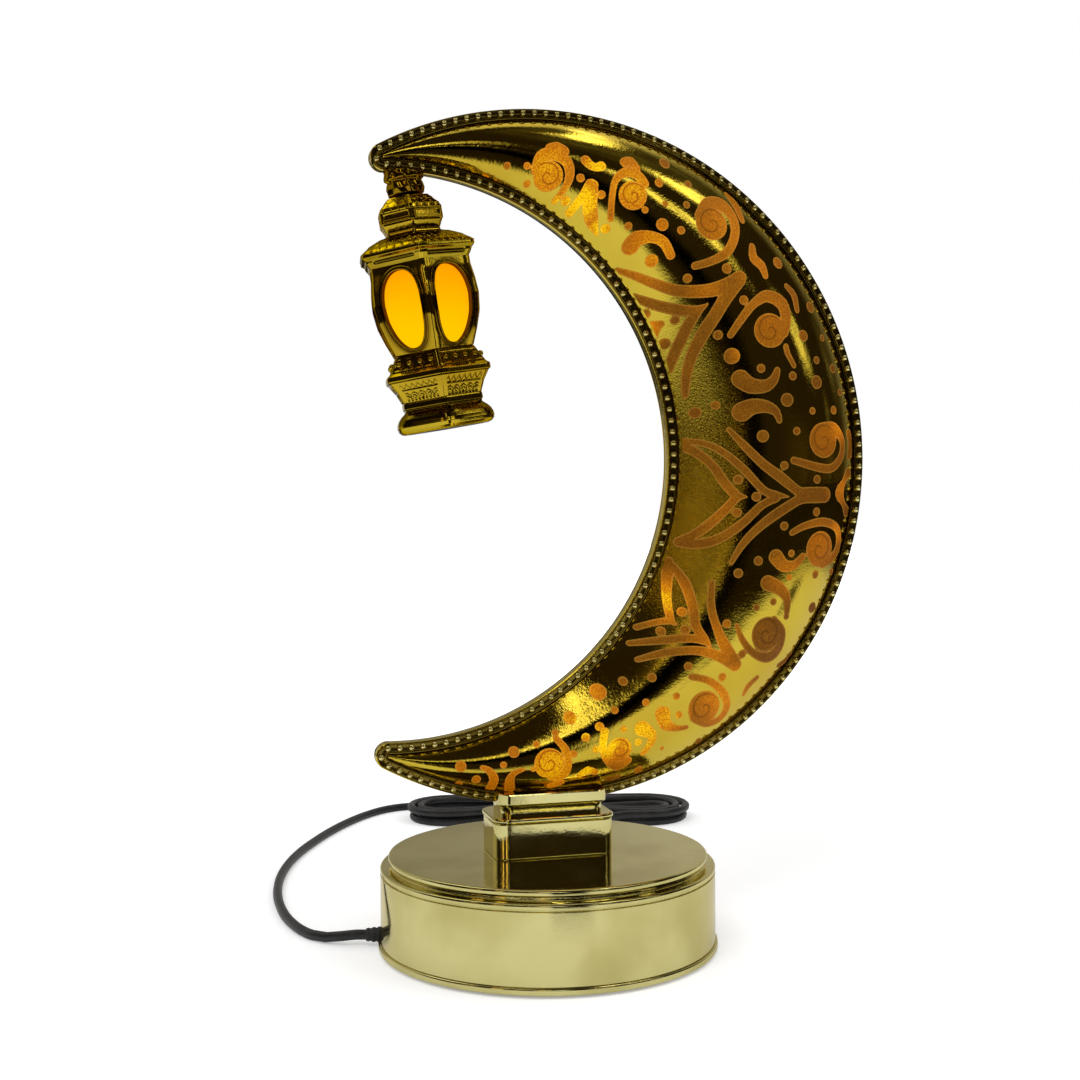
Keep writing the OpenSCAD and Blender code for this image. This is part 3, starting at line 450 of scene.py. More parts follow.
# %% Strap round the hank
STRAP_T, STRAP_H, STRAP_Z, STRAP_SLACK = 0.8, 7.8, 4.3, 0.75
strap_half = HANK_R - HANK_PITCH / 2 - HANK_PINCH + CORD_R + STRAP_SLACK
strap_loop = rounded_loop(2 * strap_half + STRAP_T, STRAP_H, 2)
strap_section = [(-0.4, -2.7), (-0.2, -3), (0.2, -3), (0.4, -2.7)]
strap_section += [(-a, -b) for a, b in strap_section]
strap_rows = []
for i, (y, z) in enumerate(strap_loop):
    way = unit(np.array(strap_loop[(i + 1) % len(strap_loop)]) - strap_loop[i - 1])
    strap_rows.append([(b, y + HANK_PITCH / 4 + a * way[1], STRAP_Z + z - a * way[0])
                       for a, b in strap_section])
strap = make_piece("hank_strap", loft(strap_rows, "joined"), "lamp", dull_rubber, "component_plastic",
                   "cord_tie", move=pose((*HANK_CENTRE, 0), ("Z", HANK_TURN)))

# %% [markdown]
# ## The crescent's shape
#
# The two edges of the crescent are circles with different centres. Filling between them would
# pinch the faces at the tips. Every circle that touches both edges has its centre on an
# ellipse, so a ray from the ellipse to each edge gives a grid that follows the crescent from
# tip to tip. The grid is fine, half a millimetre, because a mirror shows every facet.

# %% Crescent grid
OUTER_R = 99
INNER_R = OUTER_R * 0.804
SHIFT = OUTER_R * 0.4324
TIP_R = 3.8
RIM_W = 3
CRESCENT_Z = 140.5
ELLIPSE_A = (OUTER_R + INNER_R) / 2
ELLIPSE_C = SHIFT / 2
ELLIPSE_B = math.sqrt(ELLIPSE_A ** 2 - ELLIPSE_C ** 2)
MEAN_HALF = (OUTER_R - INNER_R) / 2
WIDEST = MEAN_HALF + ELLIPSE_C
TIP_PHI = math.acos((TIP_R - MEAN_HALF) / ELLIPSE_C)
DOME_ALONG, DOME_ACROSS = 0.75, 2.3


def mid_point(phi):
    return np.array((ELLIPSE_A * math.cos(phi) - ELLIPSE_C, ELLIPSE_B * math.sin(phi)))

# %% [markdown]
# One ray goes from each step on the ellipse to the outer edge and one to the inner edge. At
# both tips a fan of rays turns round the end, which makes the tips round.

# %% Rays of the crescent
def crescent_rays(steps, fan):
    """Rays (start, direction, length, angle on the ellipse, place along the middle line)."""
    phis = [TIP_PHI * (2 * i / steps - 1) for i in range(steps + 1)]
    mids = [mid_point(phi) for phi in phis]
    out = [unit(m) for m in mids]
    back = [unit(np.array((-SHIFT, 0)) - m) for m in mids]

    def turn_round(i, start, end):
        first, last = math.atan2(start[1], start[0]), math.atan2(end[1], end[0]) + 2 * math.pi
        angles = [first + (last - first) * k / fan for k in range(1, fan)]
        return [(i, np.array((math.cos(a), math.sin(a)))) for a in angles]

    ways = list(enumerate(out)) + turn_round(steps, out[-1], back[-1])
    ways += list(enumerate(back))[::-1] + turn_round(0, back[0], out[0])
    return [(mids[i], way, MEAN_HALF + ELLIPSE_C * math.cos(phis[i]), phis[i], i) for i, way in ways]

# %% [markdown]
# A shell is a thin moulding: a dome, a flat rim with a rounded edge, and a hollow behind. The
# Solidify modifier could give a dome its thickness, but the rim has a section of its own. So
# each row of points is one step of the way along all the rays: out over the dome, round the
# rim and back through the hollow.

# %% Rows and faces of a shell
def shell_rows(rays, side, rise, shares):
    """The dome from the middle line to the rim, the rim, its rounded edge, and the hollow."""
    starts = np.array([r[0] for r in rays])
    ways = np.array([r[1] for r in rays])
    lengths = np.array([r[2] for r in rays])
    heights = rise * ((lengths - RIM_W) / (WIDEST - RIM_W)) ** DOME_ALONG

    def dome(s):
        return heights * (1 - (1 - s) ** DOME_ACROSS)

    def row(reach, y):
        place = starts + ways * reach[:, None]
        return np.stack([place[:, 0], side * y, place[:, 1] + CRESCENT_Z], 1)

    rows = [row((lengths - RIM_W) * (1 - s), 2.2 + dome(s)) for s in shares]
    for inset, y in ((0.4, 2.2), (0.12, 2.08), (0, 1.8), (0, 0.6)):
        rows.append(row(lengths - inset, np.full(len(rays), y)))
    for s in (0, 0.28, 0.72, 1):
        rows.append(row((lengths - 3.3) * (1 - s), 0.6 + dome(s) + (0.2 if s else 0)))
    return rows


def shell_faces(rays, count):
    """Faces between the rows. The first and the last row lie on the middle line, where the
    two sides share their points."""
    around = len(rays)
    merged = {}
    for i, r in enumerate(rays):
        merged.setdefault(r[4], i)
    first = [merged[r[4]] for r in rays]
    faces = []
    for j in range(count - 1):
        for i in range(around):
            n = (i + 1) % around
            corners = []
            for row, k in ((j, i), (j, n), (j + 1, n), (j + 1, i)):
                if row in (0, count - 1):
                    k = first[k]
                v = row * around + k
                if v not in corners:
                    corners.append(v)
            if len(corners) > 2:
                faces.append(tuple(corners))
    return faces

# %% [markdown]
# The front shell comes first, on the finest grid. Where each point lies, by its ray's angle
# and its share of the way across, is kept with it, because the ornament and the film's grain
# are placed by these.

# %% Front shell
def crescent_shell(name, side, rise, steps, fan, rings):
    """The mesh of one shell, and for each point its ray's angle and its share across."""
    rays = crescent_rays(steps, fan)
    shares = [1 - k / rings for k in range(rings + 1)]
    rows = shell_rows(rays, side, rise, shares)
    points = np.concatenate(rows)
    faces = shell_faces(rays, len(rows))
    used = np.unique(np.concatenate([np.array(f) for f in faces]))
    order = np.full(len(points), -1)
    order[used] = np.arange(len(used))
    faces = [tuple(int(order[v]) for v in f) for f in faces]
    phis = np.tile([r[3] for r in rays], len(rows))[used]
    across = np.repeat(shares + [-1] * (len(rows) - len(shares)), len(rays))[used]
    mesh = make_mesh(name, points[used], faces, 24, merge=False)
    return mesh, points[used], phis, across


front_shape = crescent_shell("crescent_front", -1, 12, 600, 24, 52)
front_mesh, front_points, front_phi, front_share = front_shape
print("front shell:", len(front_points), "points,", len(front_mesh.polygons), "faces")

# %% [markdown]
# ## The etched ornament
#
# Scrolls, lotus leaves, commas and dots are etched through the metal film. They have no
# height worth modelling, and an image would blur close up. So each motif is a stroke of
# changing width, a dot or a scroll, in millimetres on the crescent's plane. How far each
# point of the shell lies from the nearest motif is kept as an attribute, and the shader
# draws a crisp edge where that distance passes zero.

# %% Ornament table
STROKES = [
    [(-4, 80.5, 1.4), (-2.5, 84, 1.8), (1, 85, 1.9), (4.5, 83, 1.6),
     (5.5, 79.5, 1.3), (4.5, 76, 1), (2, 72.5, 0.8)],
    [(0, 86.5, 1.4), (2, 87, 1.5), (4, 86, 1.4)],
    [(10, 83.5, 1.4), (11.5, 82, 1.2), (13, 81.5, 1.1), (14.5, 82, 1.4)],
    [(11.5, 76.5, 1.8), (9, 73, 1.2), (6.5, 69.5, 1.2)],
    [(12, 76.5, 1.6), (11.5, 72, 2), (12.5, 67.5, 1.7), (14.5, 63.5, 0.4)],
    [(17.5, 67.5, 0.9), (17.5, 73, 0.9), (18.5, 78, 1), (21.5, 80.5, 1.4), (25, 80, 1.5), (27, 77.5, 1.4)],
    [(21.5, 83.5, 1.4), (23.5, 84, 1.4), (25, 82, 1.2)],
    [(23.5, 60, 2.3), (25, 62, 2.2), (29, 62.5, 1.6), (32.5, 61, 1.5), (34.5, 57.5, 1.3)],
    [(-16.5, 76.5, 0.6), (-13, 75.5, 1.1), (-10, 74, 1.3), (-7, 72.5, 0.8)],
    [(43, 69, 1.3), (46.5, 73, 1.8), (51.5, 73, 2.3), (54.5, 69.5, 1.8),
     (54.5, 64.5, 1.5), (51.5, 59, 1.4), (46.5, 56, 1.2), (41.5, 54.5, 1.1)],
    [(55, 77, 1.1), (57, 73.5, 1.4), (58, 69, 1)],
    [(60, 61, 1.1), (60, 57.5, 1.5), (62.5, 55.5, 1.5), (63.5, 52.5, 1)],
    [(55, 51.5, 2), (50.5, 49, 2.1), (45, 47.5, 1.9), (37.5, 47.5, 1.7),
     (31.5, 49.5, 1.4), (26, 52, 1.1), (21, 54, 0.7)],
    [(54.5, 51, 2.3), (50.5, 45.5, 2), (47.5, 40.5, 1.9), (44.5, 35.5, 1.9),
     (42, 29.5, 1.6), (41, 23.5, 1.3), (41, 18, 0.9)],
    [(45.5, 44, 0.2), (43.5, 42.5, 1), (39.5, 42, 1.6), (33, 43.5, 1.5), (26, 46.5, 1)],
    [(43.5, 42.5, 1), (41, 39, 1.6), (39, 34, 1.6), (37.5, 29.5, 1.5), (36.5, 25.5, 1.3)],
    [(31, 38.5, 1), (33.5, 38.5, 1.1)],
    [(32.5, 38, 1.5), (32.5, 35.5, 0.9), (33, 34, 0.2)],
    [(52, 35, 1), (55.5, 40, 1.2), (59, 44, 1.3), (63.5, 46.5, 1.8),
     (68.5, 44.5, 2.1), (69.5, 40, 1.8), (68.5, 36, 1.5)],
    [(71, 50, 0.9), (73.5, 47.5, 1.2), (74, 43, 0.9)],
    [(69, 32, 0.9), (69.5, 30, 0.9), (71.5, 26.5, 0.8)],
    [(55, 22.5, 2.6), (58, 20.5, 2.3), (62.5, 20.5, 1.8), (65, 22.5, 1.4), (66, 25, 1)],
    [(55.5, 13, 2.8), (58.5, 14.5, 2.3), (62.5, 14.5, 1.8), (65.5, 13, 1.3), (66.5, 10.5, 0.9)],
    [(81.5, 9, 1.3), (86, 8.5, 1.8), (89.5, 5, 1.3), (89, 0.5, 1.3),
     (85, -3, 1.3), (79.5, -3, 1.3), (71, -1, 1.1)],
    [(93, 7.5, 1.3), (94, 4, 1.4), (93, 0.5, 1.1)],
    [(82, -11, 2.3), (76, -11, 2.3), (72.5, -10, 1.5), (67, -6, 1.6),
     (61.5, -2, 1.4), (56.5, 3, 1.2), (52, 8, 0.7)],
    [(76, -11.5, 2), (72.5, -12.5, 1.5), (65.5, -16.5, 1.5),
     (60, -20.5, 1.3), (55.5, -25, 1.1), (52, -30.5, 0.7)],
    [(69.5, -11.5, 0.2), (65.5, -11, 1.1), (61.5, -9.5, 1.2), (56, -3.5, 1.2),
     (50.5, 1.5, 1.1), (46, 4, 1), (40.5, 5, 0.9)],
    [(65.5, -12, 1.1), (61, -14, 1.2), (55, -19.5, 1.3),
     (49, -23.5, 1.4), (43.5, -25, 1.5), (39, -24.5, 1.5)],
    [(57, -11.5, 0.2), (54, -11, 1.3), (51, -7.5, 1.4), (48, -2.5, 1.3), (44, 1.5, 1.3), (40.5, 3.5, 1.5)],
    [(54, -11.5, 1.3), (51, -15, 1.3), (46.5, -19.5, 1.4), (42.5, -22.5, 1.3), (39.5, -24, 1.3)],
    [(92.5, -4.5, 1.7), (90.5, -7, 1), (88.5, -10.5, 2), (90.5, -13.5, 1), (92.5, -16, 1.7)],
    [(70.5, -22, 0.9), (75, -20, 1.1), (82, -19, 1.3), (88, -21, 1.3),
     (89.5, -25.5, 1.3), (87.5, -29.5, 1.5), (82.5, -31.5, 1.3)],
    [(93.5, -21, 1), (93.5, -25, 1.1), (93, -28.5, 1)],
    [(65.5, -29, 2.3), (68, -31.5, 1.9), (71.5, -31.5, 1.4), (74.5, -29, 1.1)],
    [(63, -36.5, 2.3), (66.5, -38, 2), (69.5, -41, 1.5), (70, -45, 1.1)],
    [(53.5, -48.5, 0.7), (55.5, -53, 1), (59.5, -57, 1.2), (65, -58.5, 1.7),
     (68.5, -56, 1.7), (69, -51, 1.3), (65.5, -47, 0.9)],
    [(53.5, -60, 2), (50, -54.5, 1.8), (47.5, -49, 1.3), (46, -43, 1.2), (46.5, -36, 0.9)],
    [(53.5, -60, 2), (48.5, -57.5, 1.6), (41.5, -55.5, 1.3), (33, -56, 1.2), (25, -58, 0.8)],
    [(46, -55, 0.2), (44, -52.5, 1.2), (41.5, -48.5, 1.4),
     (41, -43, 1.4), (39.5, -36.5, 1.5), (37, -31.5, 1.1)],
    [(44, -53, 1), (40, -52, 1.2), (32, -52.5, 1.2), (23.5, -53.5, 0.8)],
    [(36.5, -48, 0.2), (35, -47, 1), (34.5, -40.5, 1.2), (35.5, -33, 1.5), (36, -30, 1.3)],
    [(35, -47, 1), (31, -47.5, 0.9), (26, -49, 0.9)],
    [(40, -63, 1), (45.5, -64.5, 1.1), (50.5, -68.5, 1.3), (52.5, -73, 1.3),
     (50.5, -76.5, 1.2), (46, -77.5, 1.1), (41, -75.5, 0.8)],
    [(31.5, -73.5, 2.3), (32.5, -76.5, 1.8), (36, -78, 1), (39.5, -78, 0.7)],
    [(25.5, -77.5, 2.3), (28.5, -79.5, 1.5), (28.5, -82, 1.2), (26.5, -85, 0.9)],
    [(14.5, -78, 1.2), (14, -82, 1.1), (15.5, -86, 1.3), (19, -88.5, 1.4), (22, -87, 1.3)],
    [(0.5, -79.5, 0.9), (3, -82.5, 1.1), (4, -86.5, 1.1), (3, -90, 1.4), (-0.5, -90.5, 1.3)],
    [(-0.5, -93.5, 0.9), (1, -93, 1.1), (3, -92.5, 0.8)],
    [(8, -90.5, 1), (10, -89, 1), (12.5, -90, 0.9)],
    [(16.5, -92.5, 0.7), (18.5, -92.5, 0.8), (20.5, -92, 0.6)],
    [(58, -69.5, 0.6), (59, -67, 1), (62, -64.5, 0.8)],
    [(70, -61.5, 0.8), (73, -60, 0.9), (74.5, -58, 0.7)],
    [(-20.5, -87, 0.7), (-18.5, -88, 1), (-17, -90.5, 1.3), (-17.5, -93.5, 1.4)],
    [(-9, -88, 0.6), (-11.5, -89, 0.9), (-12.5, -91, 1.3), (-12, -94, 1.5)],
]
SCROLLS = [
    (-0.5, 79, 4.1, -1), (23.5, 74, 4.1, 1), (47, 67, 5, 1), (64, 36.5, 5, 1),
    (81.5, 5, 5.2, 1), (81, -27, 5.3, -1), (63.5, -51.5, 5.2, -1), (44.5, -72.5, 5.2, 1),
    (19, -83.5, 3.7, -1), (-1.5, -86.5, 4.3, 1),
]
DOTS = [
    (-12, 81.5, 1), (-6.5, 81.5, 1), (-6, 77, 1), (5, 72.5, 1.3), (8.5, 78.5, 1.2), (14.5, 74, 1.2),
    (16.5, 65, 1.3), (27, 70, 1), (22.5, 65.5, 1.1), (32, 66, 1.8), (37.5, 64.5, 1.2),
    (31.5, 78, 1.3), (41, 78.5, 1.2), (33, 72, 0.9), (39.5, 72, 1.1), (29.5, 56, 1.8),
    (39.5, 51, 1.3), (34.5, 84.5, 1.7), (51, 54, 1.5), (69, 57, 1.8), (56, 45, 1.4), (48.5, 35, 1.4),
    (29.5, 41.5, 1.4), (37, 39.5, 1.3), (35, 33, 1.6), (80, 44.5, 1.7), (75.5, 35.5, 1.7),
    (83.5, 35.5, 1.1), (80, 28.5, 1.2), (87, 26.5, 1.4), (79.5, 22, 2), (89.5, 19.5, 1.1),
    (71, 23.5, 1.3), (61, 25.5, 1.3), (52.5, 29, 2.3), (69, 16.5, 2), (77.5, 13.5, 1.1),
    (86, 14, 1.3), (72, 7.5, 1.2), (61.5, 6, 1.8), (48.5, 15, 1.3), (43.5, 13, 1.7), (79, -6.5, 1.3),
    (68, -2.5, 1.3), (54.5, -6.5, 1.4), (59.5, -11.5, 1.4), (54, -16, 1.4), (79, -16, 1.3),
    (68, -20, 1.3), (70.5, -28, 1.1), (60, -30, 1.4), (54, -33.5, 1.4), (70, -35, 1),
    (80, -34.5, 1.3), (87.5, -34, 1.1), (59.5, -43.5, 1.1), (65, -42, 1.1), (70, -46.5, 1.1),
    (80.5, -44.5, 1.7), (50.5, -48, 1.3), (38, -44.5, 1.4), (38.5, -49.5, 1.4), (32, -50, 1.4),
    (39, -60, 1.3), (28.5, -63, 1.3), (20.5, -64, 1.3), (13.5, -67, 2.3), (5, -74, 1.8),
    (17.5, -72, 1.1), (26.5, -70, 1.1), (35.5, -68.5, 1.1), (49.5, -63.5, 1.3), (55.5, -57, 1.3),
    (13, -76.5, 1.3), (9, -79.5, 1.3), (20, -77.5, 1), (12, -83, 1.1), (5.5, -84, 1.1),
    (36.5, -74, 1.1), (24.5, -81.5, 1.1), (32.5, -84, 0.7), (26.5, -90.5, 1.4), (0.5, -78, 1),
    (-5, -81, 1), (45, -83, 1.1), (-26.5, -86.5, 1.6), (-22, -90.5, 1.3), (-14.5, -86.5, 1),
    (-6, -88, 0.8), (-11.5, -83, 1.6), (-26.5, -92, 1.1),
]
# Painted glow: spots (x, z, reach, level) where the etched ink is painted with emitted light, standing in
# for the strip's light shining through.
GLOWS = [
    (-1, 81, 12, 0.75), (9, 72, 7, 1.2), (14, 81, 6, 1.1), (23, 76, 11, 0.75), (30, 60, 10, 0.7),
    (3, 72, 3, 1.0), (15, 65, 4, 1.1), (17, 46, 5, 0.4), (30, 37, 4, 0.8), (45, 48, 6, 0.3),
    (53, 67, 13, 0.42), (62, 56, 9, 0.4), (65, 41, 14, 0.28), (34, -41, 6, 0.9), (47, -54, 8, 0.45),
    (51, -70, 10, 0.6), (54, -65, 5, 0.8), (33, -74, 7, 0.8), (25, -79, 10, 1.0), (15, -81, 6, 1.3),
    (9, -76, 5, 1.2), (-1, -87, 10, 0.85), (9, -89, 5, 1.0), (12, -67, 5, 0.6), (4, -74, 4, 0.7),
    (-16, -89, 14, 0.45), (-28, -87, 9, 0.4), (70, -34, 7, 0.35), (83, 7, 10, 0.25), (88, 9, 5, 0.6),
    (89, -9, 5, 0.45), (81, -26, 9, 0.35), (88, -22, 4, 0.6), (56, 30, 4, 0.4), (48, -14, 8, 0.2),
]
print(len(STROKES), "strokes,", len(SCROLLS), "scrolls,", len(DOTS), "dots")

# %% [markdown]
# The distance to a stroke is the distance to a chain of cones: the nearest place on each
# segment, less the width there. A scroll also keeps where a point lies inside it, so that
# the shader can engrave its fine spiral.

# %% Distance to the ornament
FAR = 9.0


def stroke_distance(place, stroke):
    fine = np.array(smooth_line(stroke, 1.2))
    low = fine[:, :2].min(0) - 5
    high = fine[:, :2].max(0) + 5
    near = np.all((place > low) & (place < high), axis=1)
    found = np.full(len(place), FAR)
    p = place[near]
    best = np.full(len(p), FAR)
    for a, b in zip(fine, fine[1:]):
        along = b[:2] - a[:2]
        t = np.clip(((p - a[:2]) @ along) / max(along @ along, 1e-9), 0, 1)
        gap = np.linalg.norm(p - a[:2] - t[:, None] * along, axis=1) - (a[2] + t * (b[2] - a[2]))
        best = np.minimum(best, gap)
    found[near] = best
    return found

# %% [markdown]
# Four attributes are kept on the points of the front: the distance to the nearest motif, the
# place inside a scroll, the strength of the painted glow, and how coarse the film's grain is.

# %% Ornament on the front
place = front_points[:, (0, 2)] - (0, CRESCENT_Z)
etch = np.full(len(place), FAR)
for stroke in STROKES:
    etch = np.minimum(etch, stroke_distance(place, stroke))
for x, z, r in DOTS:
    etch = np.minimum(etch, np.linalg.norm(place - (x, z), axis=1) - r)
scroll = np.zeros((len(place), 3))
nearest = np.full(len(place), FAR)
for x, z, r, hand in SCROLLS:
    gap = np.linalg.norm(place - (x, z), axis=1)
    etch = np.minimum(etch, gap - r)
    closer = gap / r < nearest
    nearest[closer] = (gap / r)[closer]
    scroll[closer] = np.stack([(place[:, 0] - x) * hand / r, (place[:, 1] - z) / r, gap * 0 + r], 1)[closer]
etch[front_share < 0.02] = FAR

# The painted glow's strength on each point of the front.
light = np.full(len(place), 0.03)
for x, z, reach, level in GLOWS:
    light = np.maximum(light, level * np.exp(-(np.linalg.norm(place - (x, z), axis=1) / reach) ** 2))
inside = np.linalg.norm(place + (SHIFT, 0), axis=1) - INNER_R
grit = np.exp(-(np.maximum(inside - 10, 0) / 11) ** 2 - ((front_phi + 0.08) / 0.66) ** 4)


def keep(mesh, name, kind, values):
    """Stores numbers on a mesh's points."""
    attribute = mesh.attributes.new(name, kind, "POINT")
    field = "vector" if kind == "FLOAT_VECTOR" else "value"
    attribute.data.foreach_set(field, np.asarray(values, np.float32).ravel())


for name, values in (("etch", etch), ("glow", light), ("grit", grit)):
    keep(front_mesh, name, "FLOAT", values)
keep(front_mesh, "scroll", "FLOAT_VECTOR", scroll)
print("etched share of the front:", round(float((etch < 0).mean()), 3))

# %% [markdown]
# ## Mirror gold
#
# Vacuum metallising gives plastic a thin mirror. Its colour is the metal's own reflection,
# so the shader is fully metallic with a greenish gold as its base. A perfect mirror would
# look computed: a fine orange peel breaks up every reflection of a real one, a slow swell
# bends it, and handling leaves faint smears, which only change the roughness.

# %% Gold finishes
def gold_film(bench, colour, deep, peel, swell, roughness, coarse=0.0):
    """Colour, roughness and normal of metallised plastic."""
    smear = bench.grain(60, 4, 0.6).ease(0.45, 0.75)
    fine = bench.grain(1300, 2, 0.6)
    slow = bench.grain(110, 2, 0.5)
    tone = bench.blend(bench.grain(35, 3).ease(0.35, 0.7), colour, deep)
    height = fine * peel + slow * swell + coarse
    return tone, roughness + 0.04 * smear + 0.03 * fine, bench.bump(height, 1.0)


EDGE_TINT = (0.5, 0.4, 0.15)


def gold_finish(name, colour, deep, peel=0.000012, swell=0.00006, roughness=0.05, edge=EDGE_TINT):
    material, bench = new_finish(name)
    tone, dull, normal = gold_film(bench, colour, deep, peel, swell, roughness)
    close_finish(bench, Base_Color=tone, Metallic=1.0, Roughness=dull, Normal=normal, Specular_Tint=edge)
    return material


CRESCENT_GOLD = (0.67, 0.50, 0.05)
CRESCENT_DEEP = (0.60, 0.42, 0.035)
crescent_gold = gold_finish("crescent_gold", CRESCENT_GOLD, CRESCENT_DEEP)
# Painted light: the beads get a lighter copy of the gold, painted bright, and the band a darker copy,
# painted shade.
lit_bead_gold = gold_finish("lit_bead_gold", (0.86, 0.77, 0.34), (0.7, 0.6, 0.2), roughness=0.16)
shaded_band_gold = gold_finish("shaded_band_gold", (0.24, 0.17, 0.03), (0.12, 0.08, 0.01), roughness=0.2)
base_gold = gold_finish("base_gold", (0.73, 0.67, 0.29), (0.55, 0.49, 0.18), swell=0.00009,
                        edge=(1.0, 0.95, 0.85))

# %% [markdown]
# The front of the crescent mixes that film with the etched finish: a rough coppery ink,
# speckled, with a paler line at its edge. The strip's light that gets through is a painted
# glow, an emission whose strength follows the stored glow spots.
# Two materials would need a cut along every motif, so both share one shader, and the mask
# steers its inputs.

# %% Etched front
front_gold, bench = new_finish("front_gold")
etched, glow, gritty = (bench.stored(name) for name in ("etch", "glow", "grit"))
sandy = bench.grain(1500, 3, 0.75) * (gritty * 0.00012 + 0.00001)
tone, dull, normal = gold_film(bench, CRESCENT_GOLD, CRESCENT_DEEP, 0.000022, 0.00008, 0.045, sandy)
edge = etched + (bench.grain(2600, 2) - 0.5) * 0.18
mask = 1 - edge.ease(-0.05, 0.07)
speckle = bench.grain(2300, 3, 0.75).ease(0.34, 0.68)
border = edge.within(-0.34, -0.06, 0.06)

across, upright, _ = bench.split(bench.stored("scroll", "Vector"))
reach = (across * across + upright * upright).math("SQRT")
spin = upright.math("ARCTAN2", across) / (2 * math.pi)
phase = (reach * 1.5 + spin).math("FRACT")
spiral = phase.within(0.42, 0.58, 0.05) * (1 - reach.ease(0.85, 0.97)) * (1 - edge.ease(-0.3, -0.1))

ink = bench.blend(speckle, (0.15, 0.052, 0.002), (0.30, 0.12, 0.006))
for share, colour in (
    (bench.grain(90, 3).ease(0.42, 0.68) * 0.55, (0.13, 0.045, 0.002)),
    (bench.split(bench.place())[0].ease(0.05, 0.09) * 0.6, (0.12, 0.035, 0.001)),
    (border * 0.5, (0.44, 0.20, 0.03)),
    (spiral * 0.75, (0.10, 0.035, 0.002)),
):
    ink = bench.blend(share, ink, colour)
# Painted glow: the ink emits amber light by the stored spots, brighter where it is speckled and dimmer on
# the spiral.
lit = mask * glow * (0.8 + 0.75 * speckle) * (1 - 0.45 * spiral)
amber = bench.blend(lit.ease(0.6, 1.2), (0.62, 0.17, 0.0), (0.62, 0.38, 0.0))
close_finish(
    bench,
    Base_Color=bench.blend(mask, tone, ink),
    Metallic=1 - mask * 0.8,
    Roughness=dull * (1 - mask) + mask * 0.5,
    Normal=normal,
    Specular_IOR_Level=0.08,
    Emission_Color=bench.scaled(amber, lit),
    Emission_Strength=1.0,
)

# %% [markdown]
# The rear shell is plain and its dome is lower, so a coarser grid of the same function is
# enough.

# %% Crescent shells
rear_mesh = crescent_shell("crescent_rear", 1, 9, 360, 16, 24)[0]
for mesh, finish in ((front_mesh, front_gold), (rear_mesh, crescent_gold)):
    link_piece(bpy.data.objects.new(mesh.name, mesh), "lamp", finish, "gold_plastic", mesh.name + "_shell")

# %% [markdown]
# ## The beaded border
#
# A raised band with small beads runs round the front, broken only at the saddle. Beads at an
# even pitch along a path are what Geometry Nodes do best. A tree gets a line and some named
# sizes, and at its end it makes its instances real and gives them their finish.

# %% Trees of Geometry Nodes
def new_tree(name, *sizes):
    """A tree that gets a line of edges and named sizes, and the wires of these inputs."""
    tree = bpy.data.node_groups.new(name, "GeometryNodeTree")
    sockets = [("Line", "INPUT", "NodeSocketGeometry")]
    sockets += [(size, "INPUT", "NodeSocketFloat") for size in sizes]
    for label, way, kind in sockets + [("Solid", "OUTPUT", "NodeSocketGeometry")]:
        tree.interface.new_socket(name=label, in_out=way, socket_type=kind)
    given = tree.nodes.new("NodeGroupInput")
    bench = Bench(tree)
    return bench, [Wire(bench, given.outputs[i]) for i in range(len(sockets))]


def close_tree(bench, shape, material):
    """Ends a tree: its instances become real and get their finish."""
    solid = bench.add("GeometryNodeRealizeInstances", (), {"Geometry": shape})
    coated = bench.add("GeometryNodeSetMaterial", (), {"Geometry": solid, "Material": material})
    bench.add("NodeGroupOutput", (), {0: coated})
    return bench.tree

# %% [markdown]
# The path becomes a curve, the curve is resampled by length, and a ball is placed on every
# point. The lantern's beads have another size and pitch, so both are inputs and one tree
# serves the two.

# %% Bead tree
def bead_tree(material):
    """Places beads of a given radius at a given pitch along a line."""
    bench, (line, pitch, radius) = new_tree("bead_string", "Pitch", "Radius")
    path = bench.add("GeometryNodeMeshToCurve", (), {"Mesh": line})
    places = bench.add("GeometryNodeResampleCurve", {"mode": "LENGTH"}, {"Curve": path, "Length": pitch})
    ball = bench.add("GeometryNodeMeshUVSphere", (), {"Segments": 14, "Rings": 10, "Radius": radius})
    beads = bench.add("GeometryNodeInstanceOnPoints", (), {"Points": places, "Instance": ball})
    return close_tree(bench, beads, material)

# %% [markdown]
# A tree runs as a modifier. Its result is read back as a plain mesh and the modifier is
# removed, so that the piece can be handed on like any other.

# %% Growing a piece
def settle(obj):
    """Turns a piece with live modifiers into a plain mesh."""
    ready = obj.evaluated_get(bpy.context.evaluated_depsgraph_get())
    result = bpy.data.meshes.new_from_object(ready)
    obj.modifiers.clear()
    obj.data = result
    return result


def grow(name, lines, tree, closed=False, **sizes):
    """Runs a tree on chains of points and keeps its result."""
    points = []
    edges = []
    for line in lines:
        first = len(points)
        points += [tuple(np.array(p) * MM) for p in line]
        edges += [(k, k + 1) for k in range(first, len(points) - 1)]
        if closed:
            edges.append((len(points) - 1, first))
    mesh = bpy.data.meshes.new(name)
    mesh.from_pydata(points, edges, [])
    obj = bpy.data.objects.new(name, mesh)
    scene.collection.objects.link(obj)
    modifier = obj.modifiers.new("grow", "NODES")
    modifier.node_group = tree
    for item in tree.interface.items_tree:
        if item.item_type == "SOCKET" and item.in_out == "INPUT" and item.name in sizes:
            modifier[item.identifier] = float(sizes[item.name])
    result = settle(obj)
    result.name = name
    result.polygons.foreach_set("use_smooth", [True] * len(result.polygons))
    print(f"{name}: {len(result.polygons)} faces")
    return obj

# %% [markdown]
# The band is a small section that the rays of the crescent's grid carry along its edge. Its
# finish is a darker copy of the gold, painted shade from its beads.

# %% Band and beads of the crescent
SADDLE_GAP = 16.05
BEAD_R, BEAD_PITCH, BEAD_INSET, BEAD_Y = 0.88, 3.3, 1.5, 2.75


